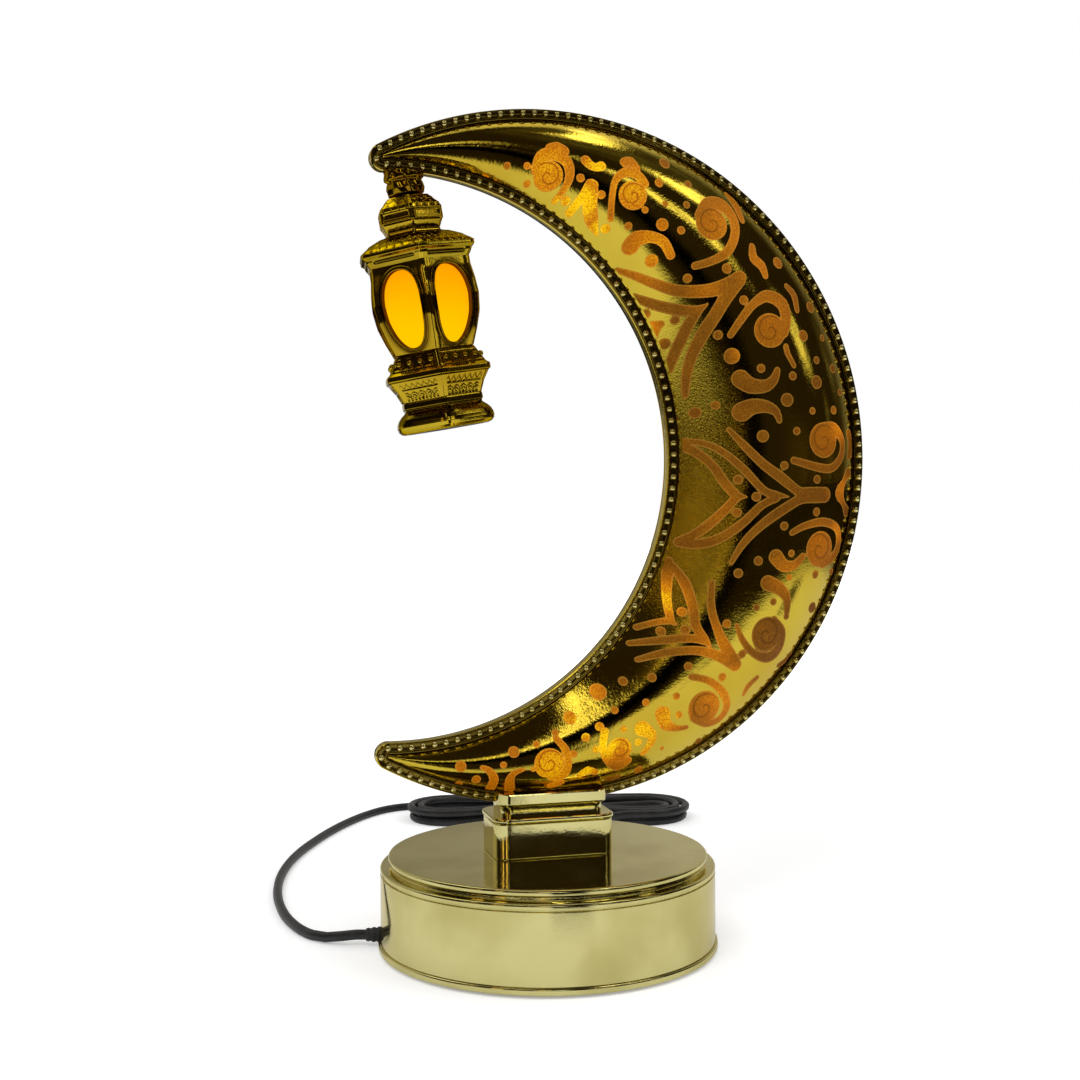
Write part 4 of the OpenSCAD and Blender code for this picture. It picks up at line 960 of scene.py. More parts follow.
def on_ray(ray, inset, y):
    """A place so far in from the crescent's edge, and so far in front of its middle plane."""
    x, z = ray[0] + ray[1] * (ray[2] - inset)
    return x, -y, z + CRESCENT_Z


rays = crescent_rays(300, 14)
held = []
for ray in rays:
    x, z = ray[0] + ray[1] * ray[2]
    held.append(abs(x) < SADDLE_GAP and z < 0 and math.hypot(x, z) > OUTER_R - 0.5)
start = max(i for i, h in enumerate(held) if h) + 1
rays = [rays[i % len(rays)] for i in range(start, start + len(rays)) if not held[i % len(rays)]]
band_section = [(3, 2.1), (3, 2.6), (2.85, 2.7), (2.45, 2.7), (2.35, 2.62), (0.65, 2.62), (0.55, 2.7),
                (0.4, 2.7), (0.3, 2.6), (0.3, 2.1)]
band_rows = [[on_ray(ray, inset, y) for inset, y in band_section] for ray in rays]
make_piece("bead_band", loft(band_rows, "lids"), "lamp", shaded_band_gold, "gold_plastic", "bead_trim", crease=40)
bead_line = [on_ray(ray, BEAD_INSET, BEAD_Y) for ray in rays[2:-2]]
beads = grow("rim_beads", [bead_line], bead_tree(lit_bead_gold), Pitch=BEAD_PITCH * MM, Radius=BEAD_R * MM)
link_piece(beads, "lamp", lit_bead_gold, "gold_plastic")

# %% [markdown]
# ## The base
#
# The base is turned: a straight wall, a rounded shoulder, a narrow groove and a raised disc
# with a rolled edge, above the flange of its bottom cover. A cylinder with bevels would take
# many steps. The profile is a list of corners with a rounding each, `soften` turns every
# corner into a short arc, and the lathe turns the line.

# %% Lathe
def soften(corners, steps=5, hold=0.0):
    """Rounds each corner (x, y, radius) of an open profile. A point at the hold's distance on
    each side keeps the flats' shading flat."""
    line = []
    for i, (x, y, r) in enumerate(corners):
        here = np.array((x, y), float)
        if i in (0, len(corners) - 1) or r == 0:
            line.append(here)
            continue
        before = np.array(corners[i - 1][:2], float) - here
        after = np.array(corners[i + 1][:2], float) - here
        n_before, n_after = unit(before), unit(after)
        half = math.acos(np.clip(n_before @ n_after, -1, 1)) / 2
        cut = min(r / math.tan(half), 0.49 * np.linalg.norm(before), 0.49 * np.linalg.norm(after))
        a, c = here + n_before * cut, here + n_after * cut
        if hold and np.linalg.norm(before) > 2 * cut + 2 * hold:
            line.append(a + n_before * hold)
        for k in range(steps + 1):
            t = k / steps
            line.append((1 - t) ** 2 * a + 2 * t * (1 - t) * here + t * t * c)
        if hold and np.linalg.norm(after) > 2 * cut + 2 * hold:
            line.append(c + n_after * hold)
    return line


def lathe(profile, sides, lobe=None):
    """Turns a profile of (radius, height) that starts and ends on the axis. A lobe gets the
    angle, the radius and the height, and moves the surface outwards."""
    rows = []
    for r, z in profile:
        row = []
        for k in range(sides):
            a = 2 * math.pi * k / sides
            reach = r + lobe(a, r, z) if lobe else r
            row.append((reach * math.cos(a), reach * math.sin(a), z))
        rows.append(row)
    return loft(rows)


BASE_R, DISC_R, DISC_TOP = 48.1, 45.8, 27.4
housing_profile = soften([
    (0, DISC_TOP, 0), (DISC_R - 1.5, DISC_TOP, 0), (DISC_R, DISC_TOP, 1.5), (DISC_R, 25.9, 0.4),
    (44.9, 25.5, 0.3), (44.9, 24.5, 0.3), (46.5, 24.4, 0.3), (BASE_R, 24.4, 1.2), (BASE_R, 22.9, 0.15),
    (47.6, 22.8, 0.1), (47.6, 22.45, 0.1), (BASE_R, 22.35, 0.15), (BASE_R, 2.8, 0.2), (45.9, 2.8, 0.2),
    (45.9, 21.4, 0.5), (43.2, 24.4, 0), (0, 24.4, 0),
], 6, 0.25)
make_piece("base_body", lathe(housing_profile, 192), "lamp", base_gold, "gold_plastic", "base_housing")
cover_profile = soften([
    (0, 4, 0), (45.7, 4, 0.2), (45.7, 2.8, 0), (48.8, 2.8, 0.6), (48.8, 0.8, 0.7), (0, 0.8, 0),
], 4, 0.15)
make_piece("base_flange", lathe(cover_profile, 192), "lamp", base_gold, "gold_plastic", "base_cover")

# %% [markdown]
# The outlet sleeve is a soft ribbed cone where the cord leaves the wall. It is turned too,
# and then laid on its side.

# %% Outlet sleeve
sleeve_profile = soften([
    (0, 40.9, 0), (2.3, 40.9, 0.2), (2.3, 45.75, 0.1), (1.9, 45.75, 0), (1.9, 48.25, 0),
    (2.3, 48.25, 0.2), (2.25, 49.1, 0.1), (1.95, 49.4, 0.1), (1.95, 49.8, 0.1), (2.15, 50.1, 0.1),
    (2.05, 50.8, 0.1), (1.8, 51.1, 0.1), (1.8, 51.5, 0.1), (1.95, 51.8, 0.1), (1.8, SLEEVE_END, 0.2),
    (0, SLEEVE_END, 0),
], 3)
make_piece("outlet_sleeve", lathe(sleeve_profile, 32), "lamp", dull_rubber, "black_rubber",
           "cord_sleeve", move=pose((0, 0, EXIT_H), ("Z", EXIT_ANGLE), ("Y", 90)))

# %% [markdown]
# ## The neck and the saddle
#
# Both are moulded blocks with rounded corners, so each is a stack of rounded rectangles. The
# neck ends in a lip, and the saddle has a narrow lower roll and a wider upper one. A Boolean
# could cut its top to the crescent's round edge, but it is simpler to take the height of the
# last rows from the circle above them.

# %% Neck and saddle
NECK = (34.7, 20, 4)
SADDLE = (31.8, 16, 3)
NECK_TOP = 39.1
SEAT_R = OUTER_R - RIM_W - 0.1


def block_rows(w, d, r, z, levels):
    """Rows of a block. A level is what its width and depth grow by, what its corners' radius
    grows by, and its height above the block's foot."""
    return level_rows([(w + grown, d + grown, r + rounder, z + up) for grown, rounder, up in levels], 10)


neck_rows = block_rows(*NECK, DISC_TOP, [
    (-1, -0.5, 0), (-0.2, -0.1, 0.1), (0, 0, 0.3), (0, 0, 0.6), (0, 0, 9.8), (0, 0, 10.1),
    (0.2, 0.1, 10.3), (0.7, 0.4, 10.5), (0.8, 0.4, 10.8), (0.8, 0.4, 11.2), (0.6, 0.3, 11.5), (0, 0, 11.7),
])
make_piece("neck", loft(neck_rows, "lids"), "lamp", base_gold, "gold_plastic", "neck_block")

saddle_rows = block_rows(*SADDLE, NECK_TOP, [
    (-2, 0, 0), (-2, 0, 0.3), (-2, 0, 2.4), (-1.7, 0, 2.8), (-0.7, 0, 3), (-0.2, 0, 3.2),
    (0, 0, 3.6), (0, 0, 3.9), (0, 0, 4.8),
])
for inset in (0, 0.25):
    top_row = block_rows(*SADDLE, 0, [(-2 * inset, -inset, 0)])[0]
    saddle_rows.append([(x, y, CRESCENT_Z - math.sqrt(SEAT_R ** 2 - x ** 2) - 0.25 + inset)
                        for x, y, _ in top_row])
make_piece("saddle", loft(saddle_rows, "lids"), "lamp", base_gold, "gold_plastic", "neck_saddle")

# %% [markdown]
# ## The lantern
#
# The lantern is a stack of six-sided castings in the same metallised film. In the photograph
# its grooves are dark and its thin trim looks deeper in tone, so it has two finishes: one that
# darkens where lines and painted shade are stored on the points, and a darker copy of the
# same gold, painted shade, for the wires and the knuckle.

# %% Lantern's finishes
lantern_gold, bench = new_finish("lantern_gold")
tone, dull, normal = gold_film(bench, (0.66, 0.48, 0.03), (0.46, 0.29, 0.015), 0.000018, 0.00006, 0.06)
# Painted shade: the stored lines and shares of shade blend the gold towards a dark brown.
tone = bench.blend(bench.stored("line").ease(0.4, 0.85) * 0.85, tone, (0.06, 0.03, 0.003))
close_finish(bench, Base_Color=tone, Metallic=1.0, Roughness=dull, Normal=normal, Specular_Tint=EDGE_TINT)
# Painted shade: a darker copy of the gold for the window wires and the knuckle.
shaded_trim_gold = gold_finish("shaded_trim_gold", (0.40, 0.26, 0.012), (0.24, 0.13, 0.006), 0.000018, 0.0001)

# %% [markdown]
# The lantern hangs from the inner edge near the upper tip, leans with it, and is turned on
# its stem. The tiers are rows of (depth, radius), written as shares of its length and of the
# eave's radius, as they were read off the photograph.

# %% Lantern's place and tiers
LANTERN_LEN = 68.8
EAVE_R = 18.2
LANTERN_LEAN, LANTERN_TURN = -9.5, 22.5
FACE_COS, FACE_TAN = math.cos(math.pi / 6), math.tan(math.pi / 6)
KNUCKLE_H = LANTERN_LEN * 0.1
HANG_X = -OUTER_R * 0.403
HANG_Z = CRESCENT_Z + math.sqrt(INNER_R ** 2 - (SHIFT + HANG_X) ** 2) - KNUCKLE_H / 2
hang_place = pose((HANG_X, 0, HANG_Z), ("Y", LANTERN_LEAN))
lantern_place = hang_place @ pose((0, 0, 0), ("Z", LANTERN_TURN))
CAP_SHARES = [
    (0.055, 0.36), (0.075, 0.43), (0.095, 0.51), (0.115, 0.555), (0.157, 0.555), (0.165, 0.53),
    (0.195, 0.47), (0.205, 0.48), (0.212, 0.56), (0.222, 0.67), (0.238, 0.8), (0.258, 0.92),
    (0.274, 1), (0.286, 1), (0.296, 0.94), (0.308, 0.93), (0.33, 0.87),
]
CAGE_SHARES = [
    (0.33, 0.86), (0.36, 0.86), (0.42, 0.9), (0.48, 0.92), (0.55, 0.885), (0.62, 0.79), (0.682, 0.685),
]
FOOT_SHARES = [
    (0.682, 0.685), (0.69, 0.71), (0.755, 0.86), (0.765, 0.92), (0.785, 0.92), (0.792, 0.88),
    (0.83, 0.775), (0.874, 0.695), (0.88, 0.705), (0.9, 0.705), (0.906, 0.675), (0.916, 0.71),
    (0.928, 0.775), (0.942, 0.825), (0.957, 0.855), (0.972, 0.865), (0.985, 0.85), (0.995, 0.81), (1, 0.76),
]


def tiers(shares):
    """Fine rows of (depth, corner radius) in millimetres, with small roundings, top first."""
    return refine(soften([(LANTERN_LEN * d, EAVE_R * r, 0.25) for d, r in shares], 3), 0.25)


def face_at(shares, depth):
    """How far the flat faces stand from the axis at a depth."""
    depths = [LANTERN_LEN * d for d, _ in shares]
    return float(np.interp(depth, depths, [EAVE_R * r for _, r in shares])) * FACE_COS


def refine(rows, step):
    fine = [rows[0]]
    for a, b in zip(rows, rows[1:]):
        n = max(1, math.ceil(math.dist(a, b) / step))
        fine += [(a[0] + (b[0] - a[0]) * k / n, a[1] + (b[1] - a[1]) * k / n) for k in range(1, n + 1)]
    return fine

# %% [markdown]
# The flat faces carry relief, so a row is not six points but a fine loop, whose corners are
# rounded a little by a power mean of the distances to the three nearest faces. A relief
# function gets the place across the face, the depth and half the face's width, and returns
# how far the surface stands out.

# %% Six-sided loops
def six_loops(rows, relief=None, per_face=64, round_from=99):
    """A fine six-sided loop for each row. Its corners are crisp, and softer below the depth
    round_from."""
    loops = []
    for t, r in rows:
        flat = r * FACE_COS
        sharp = 34 if t < round_from else 12
        loop = []
        for k in range(6 * per_face):
            a = 2 * math.pi * k / (6 * per_face)
            inside = (a % (math.pi / 3)) - math.pi / 6
            spread = sum(math.cos(inside + s * math.pi / 3) ** sharp for s in (-1, 0, 1))
            reach = flat / spread ** (1 / sharp)
            if relief is not None:
                reach += relief(flat * math.tan(inside), t, flat * FACE_TAN)
            loop.append((reach * math.cos(a), reach * math.sin(a), -t))
        loops.append(loop)
    return loops


def closed(loops):
    """The solid of some loops, with both its ends drawn together on the axis."""
    top, bottom = ([(0, 0, loop[0][2])] * len(loop) for loop in (loops[0], loops[-1]))
    return loft([top] + loops + [bottom])


def clamp(value):
    return min(1.0, max(0.0, value))


def sunk(u, t, half, margin, top, bottom, slope=0.25):
    """0 at the edge of a sunken panel and 1 on its floor. The panel runs from top to bottom,
    as shares of the lantern's length, and keeps a margin at both sides of the face."""
    inset = min(half - margin - abs(u), t - top * LANTERN_LEN, bottom * LANTERN_LEN - t)
    return clamp(inset / slope)

# %% [markdown]
# Relief this small needs help from the finish. Each line of a pattern is also stored as a
# number on the points, 1 on the line and 0 a third of a millimetre away, and the shader turns
# it into a thin dark line, painted shade in the groove. Whole tiers and the walls and frames
# of the windows get a stored share of painted shade as well.

# %% Lines and painted shade on a lofted piece
def stroke_mark(distance):
    return clamp(1.1 - abs(distance) / 0.26)


def store_lines_and_shade(obj, pattern):
    """Stores a pattern of lines and painted shade on the points of a lantern piece."""
    back = lantern_place.inverted()
    marks = []
    for v in obj.data.vertices:
        x, y, z = (back @ v.co) / MM
        inside = math.atan2(y, x) % (math.pi / 3) - math.pi / 6
        flat = math.hypot(x, y) * math.cos(inside)
        marks.append(pattern(flat * math.tan(inside), -z, flat * FACE_TAN))
    keep(obj.data, "line", "FLOAT", marks)

# %% [markdown]
# The roof is covered in overlapping scales, and so are the small faces of the cupola. A scale
# is a U: its surface climbs towards its lower edge and falls back there. Rows are offset by
# half a scale. Hundreds of separate scales would need thousands of faces more, so they are
# relief on the loops.

# %% Roof and cupola
SCALE_W = 2.3


def scale_tips(u, v, pitch):
    """For the two scales that can cover a place: how far they reach, and how far it is in."""
    for row in (math.floor(v / pitch), math.floor(v / pitch) - 1):
        cell = u / SCALE_W + 0.5 * (row % 2)
        side = abs(cell - round(cell)) * 2
        yield 0.75 + 0.75 * math.sqrt(max(0.0, 1 - side * side)), v / pitch - row


def scales(u, v, pitch, height):
    """Relief of overlapping scales at a place u across and v down a face."""
    best = 0.0
    for tip, down in scale_tips(u, v, pitch):
        if down < tip:
            rim = 1 - min(1.0, (tip - down) * pitch / 0.3)
            best = max(best, height * (0.3 + 0.4 * down / tip + 0.3 * rim))
    return best


def cap_relief(u, t, half):
    s = t / LANTERN_LEN
    rest = clamp((half - abs(u)) / 0.5)
    if 0.062 < s < 0.113:
        return rest * scales(u, t, 1.5, 0.32)
    if 0.12 < s < 0.152:
        return -0.35 * sunk(u, t, half, 0.9, 0.122, 0.15)
    if 0.214 < s < 0.272:
        return rest * scales(u, t, 2, 0.5)
    if 0.297 < s < 0.322:
        return -0.5 * sunk(u, t, half, 2.2, 0.3, 0.317, 0.2)
    return 0.0


# Painted shade: the scales' grooves become thin dark lines, the sunk slot is dark, and the eave and the
# tiers below it get a 0.6 share of dark.
def cap_lines_and_shade(u, t, half):
    s = t / LANTERN_LEN
    if half - abs(u) < 0.35:
        return 0.0
    if 0.06 < s < 0.112 or 0.216 < s < 0.27:
        pitch, strength = (1.5, 0.6) if s < 0.2 else (2, 1)
        gaps = [(tip - down) * pitch for tip, down in scale_tips(u, t, pitch) if down < tip]
        return stroke_mark(min(gaps, default=9)) * strength
    if 0.297 < s < 0.32:
        return max(0.58, sunk(u, t, half, 2.2, 0.3, 0.317, 0.2))
    return 0.6 if s > 0.27 else 0.0


roof = make_piece("lantern_roof", closed(six_loops(tiers(CAP_SHARES), cap_relief)), "lantern", lantern_gold,
                  "gold_plastic", "lantern_cap", crease=40, move=lantern_place)
store_lines_and_shade(roof, cap_lines_and_shade)

# %% [markdown]
# The skirt below the cage has a lace panel on each face: a row of small triangles, a row of
# double arches and a row of rings. They are distances to lines, as the crescent's ornament
# is, but here they are cut a quarter of a millimetre deep. A cornice, a waist and a rounded
# foot follow, and the foot is hollow underneath, where a dark plug closes it.

# %% Foot
LACE_TOP = 0.799 * LANTERN_LEN
HOLLOW_R, HOLLOW_DEPTH = 12.25, 1.45
# Painted shade on whole tiers of the foot: (top, bottom, share of dark), as shares of the lantern's length.
FOOT_PAINTED_SHADE = [
    (0.787, 0.7925, 1), (0.902, 0.911, 1), (0, 0.755, 0.62), (0.87, 0.912, 0.62), (0.912, 0.965, 0.72),
    (0.965, 9, 0.5),
]


def lace(u, v, half):
    """Distance to the nearest line of the panel, u across the face and v below its top."""
    if abs(u) > half - 1.5 or v < 0 or v > 5.6:
        return 9.0
    zigzag = 0.2 + 1.3 * abs(u / 1.8 - round(u / 1.8)) * 2
    arch = math.hypot(u - 2.3 * round(u / 2.3), v - 3.75)
    ring = math.hypot(u - 1.15 * round(u / 1.15), v - 4.4)
    gaps = [abs(v - 1.7), abs(ring - 0.25)]
    if v < 1.7:
        gaps.append(abs(v - zigzag) / 1.75)
    if v < 3.75:
        gaps += [abs(arch - 1.15), abs(arch - 0.55)]
    return min(gaps)


def foot_relief(u, t, half):
    s = t / LANTERN_LEN
    if 0.797 < s < 0.872:
        return -0.25 * stroke_mark(lace(u, t - LACE_TOP, half))
    if 0.695 < s < 0.75:
        return -0.3 * sunk(u, t, half, 0.8, 0.699, 0.746)
    return 0.0


def foot_lines_and_shade(u, t, half):
    """The lace's lines as painted shade in their grooves, and a share of painted shade for whole tiers, the
    first that fits.
    """
    s = t / LANTERN_LEN
    if 0.797 < s < 0.872:
        return stroke_mark(lace(u, t - LACE_TOP, half))
    return next((level for low, high, level in FOOT_PAINTED_SHADE if low < s < high), 0.0)


foot_rows = tiers(FOOT_SHARES) + [(LANTERN_LEN, HOLLOW_R), (LANTERN_LEN - HOLLOW_DEPTH, HOLLOW_R)]
foot_loops = six_loops(foot_rows, foot_relief, round_from=0.91 * LANTERN_LEN)
foot = make_piece("lantern_base", closed(foot_loops), "lantern", lantern_gold, "gold_plastic",
                  "lantern_foot", crease=40, move=lantern_place)
store_lines_and_shade(foot, foot_lines_and_shade)

# %% [markdown]
# ## The cage, its windows and the light
#
# The cage is a six-sided sleeve with a tall oval window in each face. Leaving the windows out
# of the grid would make ragged edges. A Boolean cuts all six from the sleeve, which is exact
# and leaves clean walls.

# %% Cage
WINDOW_MIDDLE = 0.51 * LANTERN_LEN
WINDOW_HALF_W, WINDOW_HALF_H = 0.312 * EAVE_R, 0.155 * LANTERN_LEN
CAGE_WALL = 1.6


def window_loop(out=0.0, steps=56):
    """The window's outline as (across, depth), a tall oval that is wider above its middle."""
    loop = []
    for a in (2 * math.pi * k / steps for k in range(steps)):
        c, s = (math.copysign(abs(f) ** 0.87, f) for f in (math.cos(a), math.sin(a)))
        loop.append(((WINDOW_HALF_W * (1 + 0.1 * s) + out) * c, WINDOW_MIDDLE - (WINDOW_HALF_H + out) * s))
    return loop


def six_sleeve(out, wall, relief=None):
    """A sleeve in the cage's shape, whose rows run down its outside and up its inside."""
    outer = refine([(LANTERN_LEN * d, EAVE_R * r + out) for d, r in CAGE_SHARES], 0.8)
    return loft(six_loops(outer + [(t, r - wall) for t, r in reversed(outer)], relief, 24), "joined")


def six_times(chain):
    """A chain of points (out, across, height), turned onto each of the six faces."""
    turns = [Matrix.Rotation(math.radians(60 * k + 30), 3, "Z") for k in range(6)]
    return [[tuple(face_turn @ Vector(p)) for p in chain] for face_turn in turns]


def cage_relief(u, t, half):
    return 0.3 * clamp((1.5 - (half - abs(u))) / 0.4)


def cage_painted_shade(u, t, half):
    """Painted shade: dark in the windows' walls and inside, fading over 4.5 millimetres outside."""
    if half < (face_at(CAGE_SHARES, t) - 0.3) * FACE_TAN:
        return 1.0
    return max(0.0, 1 - float(np.hypot(*(window_rim - (u, t)).T).min()) / 4.5)

# %% [markdown]
# The six cutters are prisms with the window's outline. They are joined in one mesh, so that
# one modifier makes all the cuts.

# %% Cut the windows
cage_mesh = make_mesh("lantern_frame", *six_sleeve(0, CAGE_WALL, cage_relief))
window_rim = np.array(window_loop())
cutter_points = []
cutter_faces = []
for ends in zip(*(six_times([(reach, u, -t) for u, t in window_loop()]) for reach in (6, 20))):
    points, faces = loft(ends, "lids")
    cutter_faces += [tuple(v + len(cutter_points) for v in face) for face in faces]
    cutter_points += points
cage = bpy.data.objects.new("lantern_frame", cage_mesh)
cutter = bpy.data.objects.new("window_cutter", make_mesh("window_cutter", cutter_points, cutter_faces))
scene.collection.objects.link(cage)
scene.collection.objects.link(cutter)
cut = cage.modifiers.new("windows", "BOOLEAN")
cut.object = cutter
cut.solver = "EXACT"
cage_mesh = settle(cage)
bpy.data.objects.remove(cutter)
cage_mesh.transform(lantern_place)
cage_mesh.set_sharp_from_angle(angle=math.radians(35))
link_piece(cage, "lantern", lantern_gold, "gold_plastic", "lantern_cage")
store_lines_and_shade(cage, cage_painted_shade)
print("lantern_frame:", len(cage_mesh.polygons), "faces")

# %% [markdown]
# Two thin wires follow each window. They are the same path at two sizes, so one Geometry
# Nodes tree turns each path into a tube.

# %% Window wires
def wire_tree(material):
    """Turns closed lines into tubes of a given radius."""
    bench, (line, radius) = new_tree("wire", "Radius")
    path = bench.add("GeometryNodeMeshToCurve", (), {"Mesh": line})
    ring = bench.add("GeometryNodeCurvePrimitiveCircle", (), {"Resolution": 8, "Radius": radius}, "Curve")
    tube = bench.add("GeometryNodeCurveToMesh", (), {"Curve": path, "Profile Curve": ring})
    return close_tree(bench, tube, material)


def in_place(chains):
    """Chains of points, moved from the lantern's own axes to its place."""
    return [[lantern_place @ (Vector(p) * MM) / MM for p in chain] for chain in chains]


wires = []
for wider, stand in ((0.3, 0.05), (1.1, 0.0)):
    path = [(face_at(CAGE_SHARES, t) + stand, u, -t) for u, t in window_loop(wider)]
    wires += in_place(six_times(path))
rims = grow("window_wires", wires, wire_tree(shaded_trim_gold), closed=True, Radius=0.27 * MM)
link_piece(rims, "lantern", shaded_trim_gold, "gold_plastic")

# %% [markdown]
# Behind the windows stands a frosted amber sleeve, lit from inside. It is the lamp's
# brightest surface: a deep orange at its top and a lighter yellow towards the small board
# below, where its light comes from. A lamp inside would need many more samples, so the light
# is the surface's own.

# %% Amber sleeve
SLEEVE_BEHIND, SLEEVE_WALL = 1.75, 0.8
GLOW_LOW, GLOW_HIGH = HANG_Z - 46, HANG_Z - 22

amber_glow, bench = new_finish("amber_glow")
height = bench.split(bench.place())[2]
warm = (1 - height.ease(GLOW_LOW * MM, GLOW_HIGH * MM)) * 0.85 + bench.grain(90, 2) * 0.15
close_finish(
    bench,
    Base_Color=bench.blend(warm, (0.2, 0.06, 0.0), (0.22, 0.08, 0.0)),
    Roughness=0.55 + 0.1 * bench.grain(1500, 2),
    Specular_IOR_Level=0.0,
    Normal=bench.bump(bench.grain(1500, 2), 0.00002),
    Emission_Color=bench.blend(warm, (1.0, 0.33, 0.0), (1.0, 0.6, 0.0)),
    Emission_Strength=0.95,
)
make_piece("amber_sleeve", six_sleeve(-SLEEVE_BEHIND, SLEEVE_WALL), "lantern", amber_glow,
           "amber_diffuser", "lantern_diffuser", move=lantern_place)

# %% [markdown]
# A row of beads runs round the flared band. They come from the same tree as the crescent's,
# but their path is one short line on each face.

# %% Lantern beads
row_depth = 0.722 * LANTERN_LEN
face_out = face_at(FOOT_SHARES, row_depth)
pitch = face_out / FACE_COS / 4.5
lines = in_place(six_times([(face_out + 0.1, side * pitch * 1.55, -row_depth) for side in (-1, 1)]))
band_beads = grow("lantern_pearls", lines, bead_tree(lantern_gold),
                  Pitch=pitch * 1.03 * MM, Radius=0.85 * MM)
link_piece(band_beads, "lantern", lantern_gold, "gold_plastic", "lantern_beads")

# %% [markdown]
# ## The knuckle
#
# The knuckle is a small turned boss under the crescent's tip, and its stem carries the
# lantern. Eight shallow lobes round it catch the light in curls. Its top is cut to the
# crescent's inner edge by moving the points that stick out past it.

# %% Knuckle
half = KNUCKLE_H / 2
knuckle_profile = soften([
    (0, 5.2, 0), (5.3, 5.2, 0.2), (5.3, half, 0.2), (5.65, 2.6, 0.5), (5.65, 1.5, 0.5), (4.8, 0.9, 0.3),
    (5.2, 0.2, 0.3), (5.65, -1.2, 0.8), (5.2, -2.8, 0.6), (3.6, -half, 0.4), (2.4, -half, 0.1),
    (2.4, -6.6, 0.1), (0, -6.6, 0),
], 4)


def knuckle_lobe(a, r, z):
    return 0.22 * (math.cos(8 * a + z * 0.9) - 1) if r > 4 and z < 3 else 0


knuckle = make_mesh("knuckle", *lathe(knuckle_profile, 96, knuckle_lobe))
knuckle.transform(hang_place)
edge_circle = (INNER_R - 0.05) * MM
for v in knuckle.vertices:
    x, z = v.co.x + SHIFT * MM, v.co.z - CRESCENT_Z * MM
    away = math.hypot(x, z)
    if away > edge_circle:
        v.co.x = x * edge_circle / away - SHIFT * MM
        v.co.z = z * edge_circle / away + CRESCENT_Z * MM
link_piece(bpy.data.objects.new("knuckle", knuckle), "lamp", shaded_trim_gold, "gold_plastic", "lantern_knuckle")

# %% [markdown]
# ## The solids that stay
#
# Screws, boards, the ballast and other inner parts already have their right shape. They keep
# their meshes and only get a finish each, with some variation, because they are seen when the
# lamp is taken apart.

# %% Finishes of the solids
steel = plain_finish("zinc_steel", (0.52, 0.53, 0.55), (0.66, 0.66, 0.68), 0.3, 2500, metallic=1.0)
cast = plain_finish("cast_ballast", (0.09, 0.09, 0.095), (0.17, 0.165, 0.16), 0.6, 700, 0.0001, 0.8)
laminate = plain_finish("green_laminate", (0.01, 0.12, 0.04), (0.02, 0.2, 0.07), 0.35, 600)
milky = plain_finish("milky_plastic", (0.72, 0.72, 0.68), (0.85, 0.85, 0.82), 0.45, 800)
copper = plain_finish("enamel_copper", (0.45, 0.16, 0.05), (0.62, 0.26, 0.1), 0.3, 3000, metallic=0.9)
bright_shell = plain_finish("plug_steel", (0.6, 0.6, 0.62), (0.72, 0.72, 0.74), 0.2, 3000, metallic=1.0)
seam_gold = plain_finish("seam_gold", (0.42, 0.38, 0.12), (0.55, 0.5, 0.18), 0.25, 700, metallic=0.9)

resin, bench = new_finish("amber_resin")
close_finish(
    bench,
    Base_Color=bench.blend(bench.grain(1200, 2).ease(0.3, 0.7), (0.8, 0.35, 0.01), (0.95, 0.5, 0.04)),
    Roughness=0.2 + 0.1 * bench.grain(2000, 2),
    Coat_Weight=0.4,
    Emission_Color=bench.blend(bench.grain(900, 1), (0.7, 0.28, 0.0), (1.0, 0.5, 0.02)),
    Emission_Strength=0.6,
)
KEPT = {
    "foot_pad": dull_rubber, "cover_screws": steel, "ballast": cast, "circuit_board": laminate,
    "board_parts": black_moulding, "board_screws": steel, "cord_clamp": black_moulding,
    "clamp_screws": steel, "inner_lead": cord_skin, "neck_screws": steel, "crescent_frame": seam_gold,
    "light_strip": milky, "light_chips": resin, "lantern_clip": steel, "lantern_board": laminate,
    "lantern_lamp": resin, "lantern_lead": copper, "lantern_plug": black_moulding,
    "plug_shell": bright_shell,
}
for node, material in KEPT.items():
    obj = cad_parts[node]
    obj.data.materials.clear()
    obj.data.materials.append(material)
print(len(KEPT), "solids keep their shape")

# %% [markdown]
# ## Floor, world and lamps
#
# The floor is plain and pale, as the photograph's is. Seen in a mirror it would look like
# flat paint, so for glossy rays it is painted dark far from the lamp, with a painted shadow
# of the dark shape that stands in front and a small painted dark patch to the front right.

# %% Floor
FLOOR_HALF = 4


def heading_of(east, north):
    """The angle round the lamp in degrees, 0 at its front."""
    return east.math("ARCTAN2", 0 - north) * (180 / math.pi)


floor_finish, bench = new_finish("pale_floor")
distance = bench.add("ShaderNodeVectorMath", {"operation": "LENGTH"}, {0: bench.place()}, "Value")
heading = heading_of(*bench.split(bench.place())[:2])
# Painted shade, seen only by glossy rays: a shadow of the dark shape in front, a small dark patch to the
# front right, and dark far from the lamp.
shade = heading.within(-13, 9, 3) * distance.ease(0.09, 0.2)
shade = shade + heading.within(60, 70, 3) * distance.within(0.33, 0.43, 0.03)
painted_floor_shade = distance.ease(0.4, 0.64).math("MAXIMUM", shade)
pale = bench.blend(bench.grain(3, 2), (0.88, 0.88, 0.88), (0.92, 0.92, 0.92))
lit_floor = bench.blend(bench.ray("Glossy") * painted_floor_shade, pale, (0.02, 0.014, 0.006))
matt = bench.add("ShaderNodeBsdfDiffuse", (), {"Color": lit_floor})
strength = bench.ray("Camera") * (0.3 + 0.9 * distance.ease(0.15, 0.9))
lift = bench.add("ShaderNodeEmission", (), {"Color": (1, 1, 1, 1), "Strength": strength})
both = bench.add("ShaderNodeAddShader", (), {0: matt, 1: lift})
bench.add("ShaderNodeOutputMaterial", (), {"Surface": both})
floor_mesh = bpy.data.meshes.new("floor")
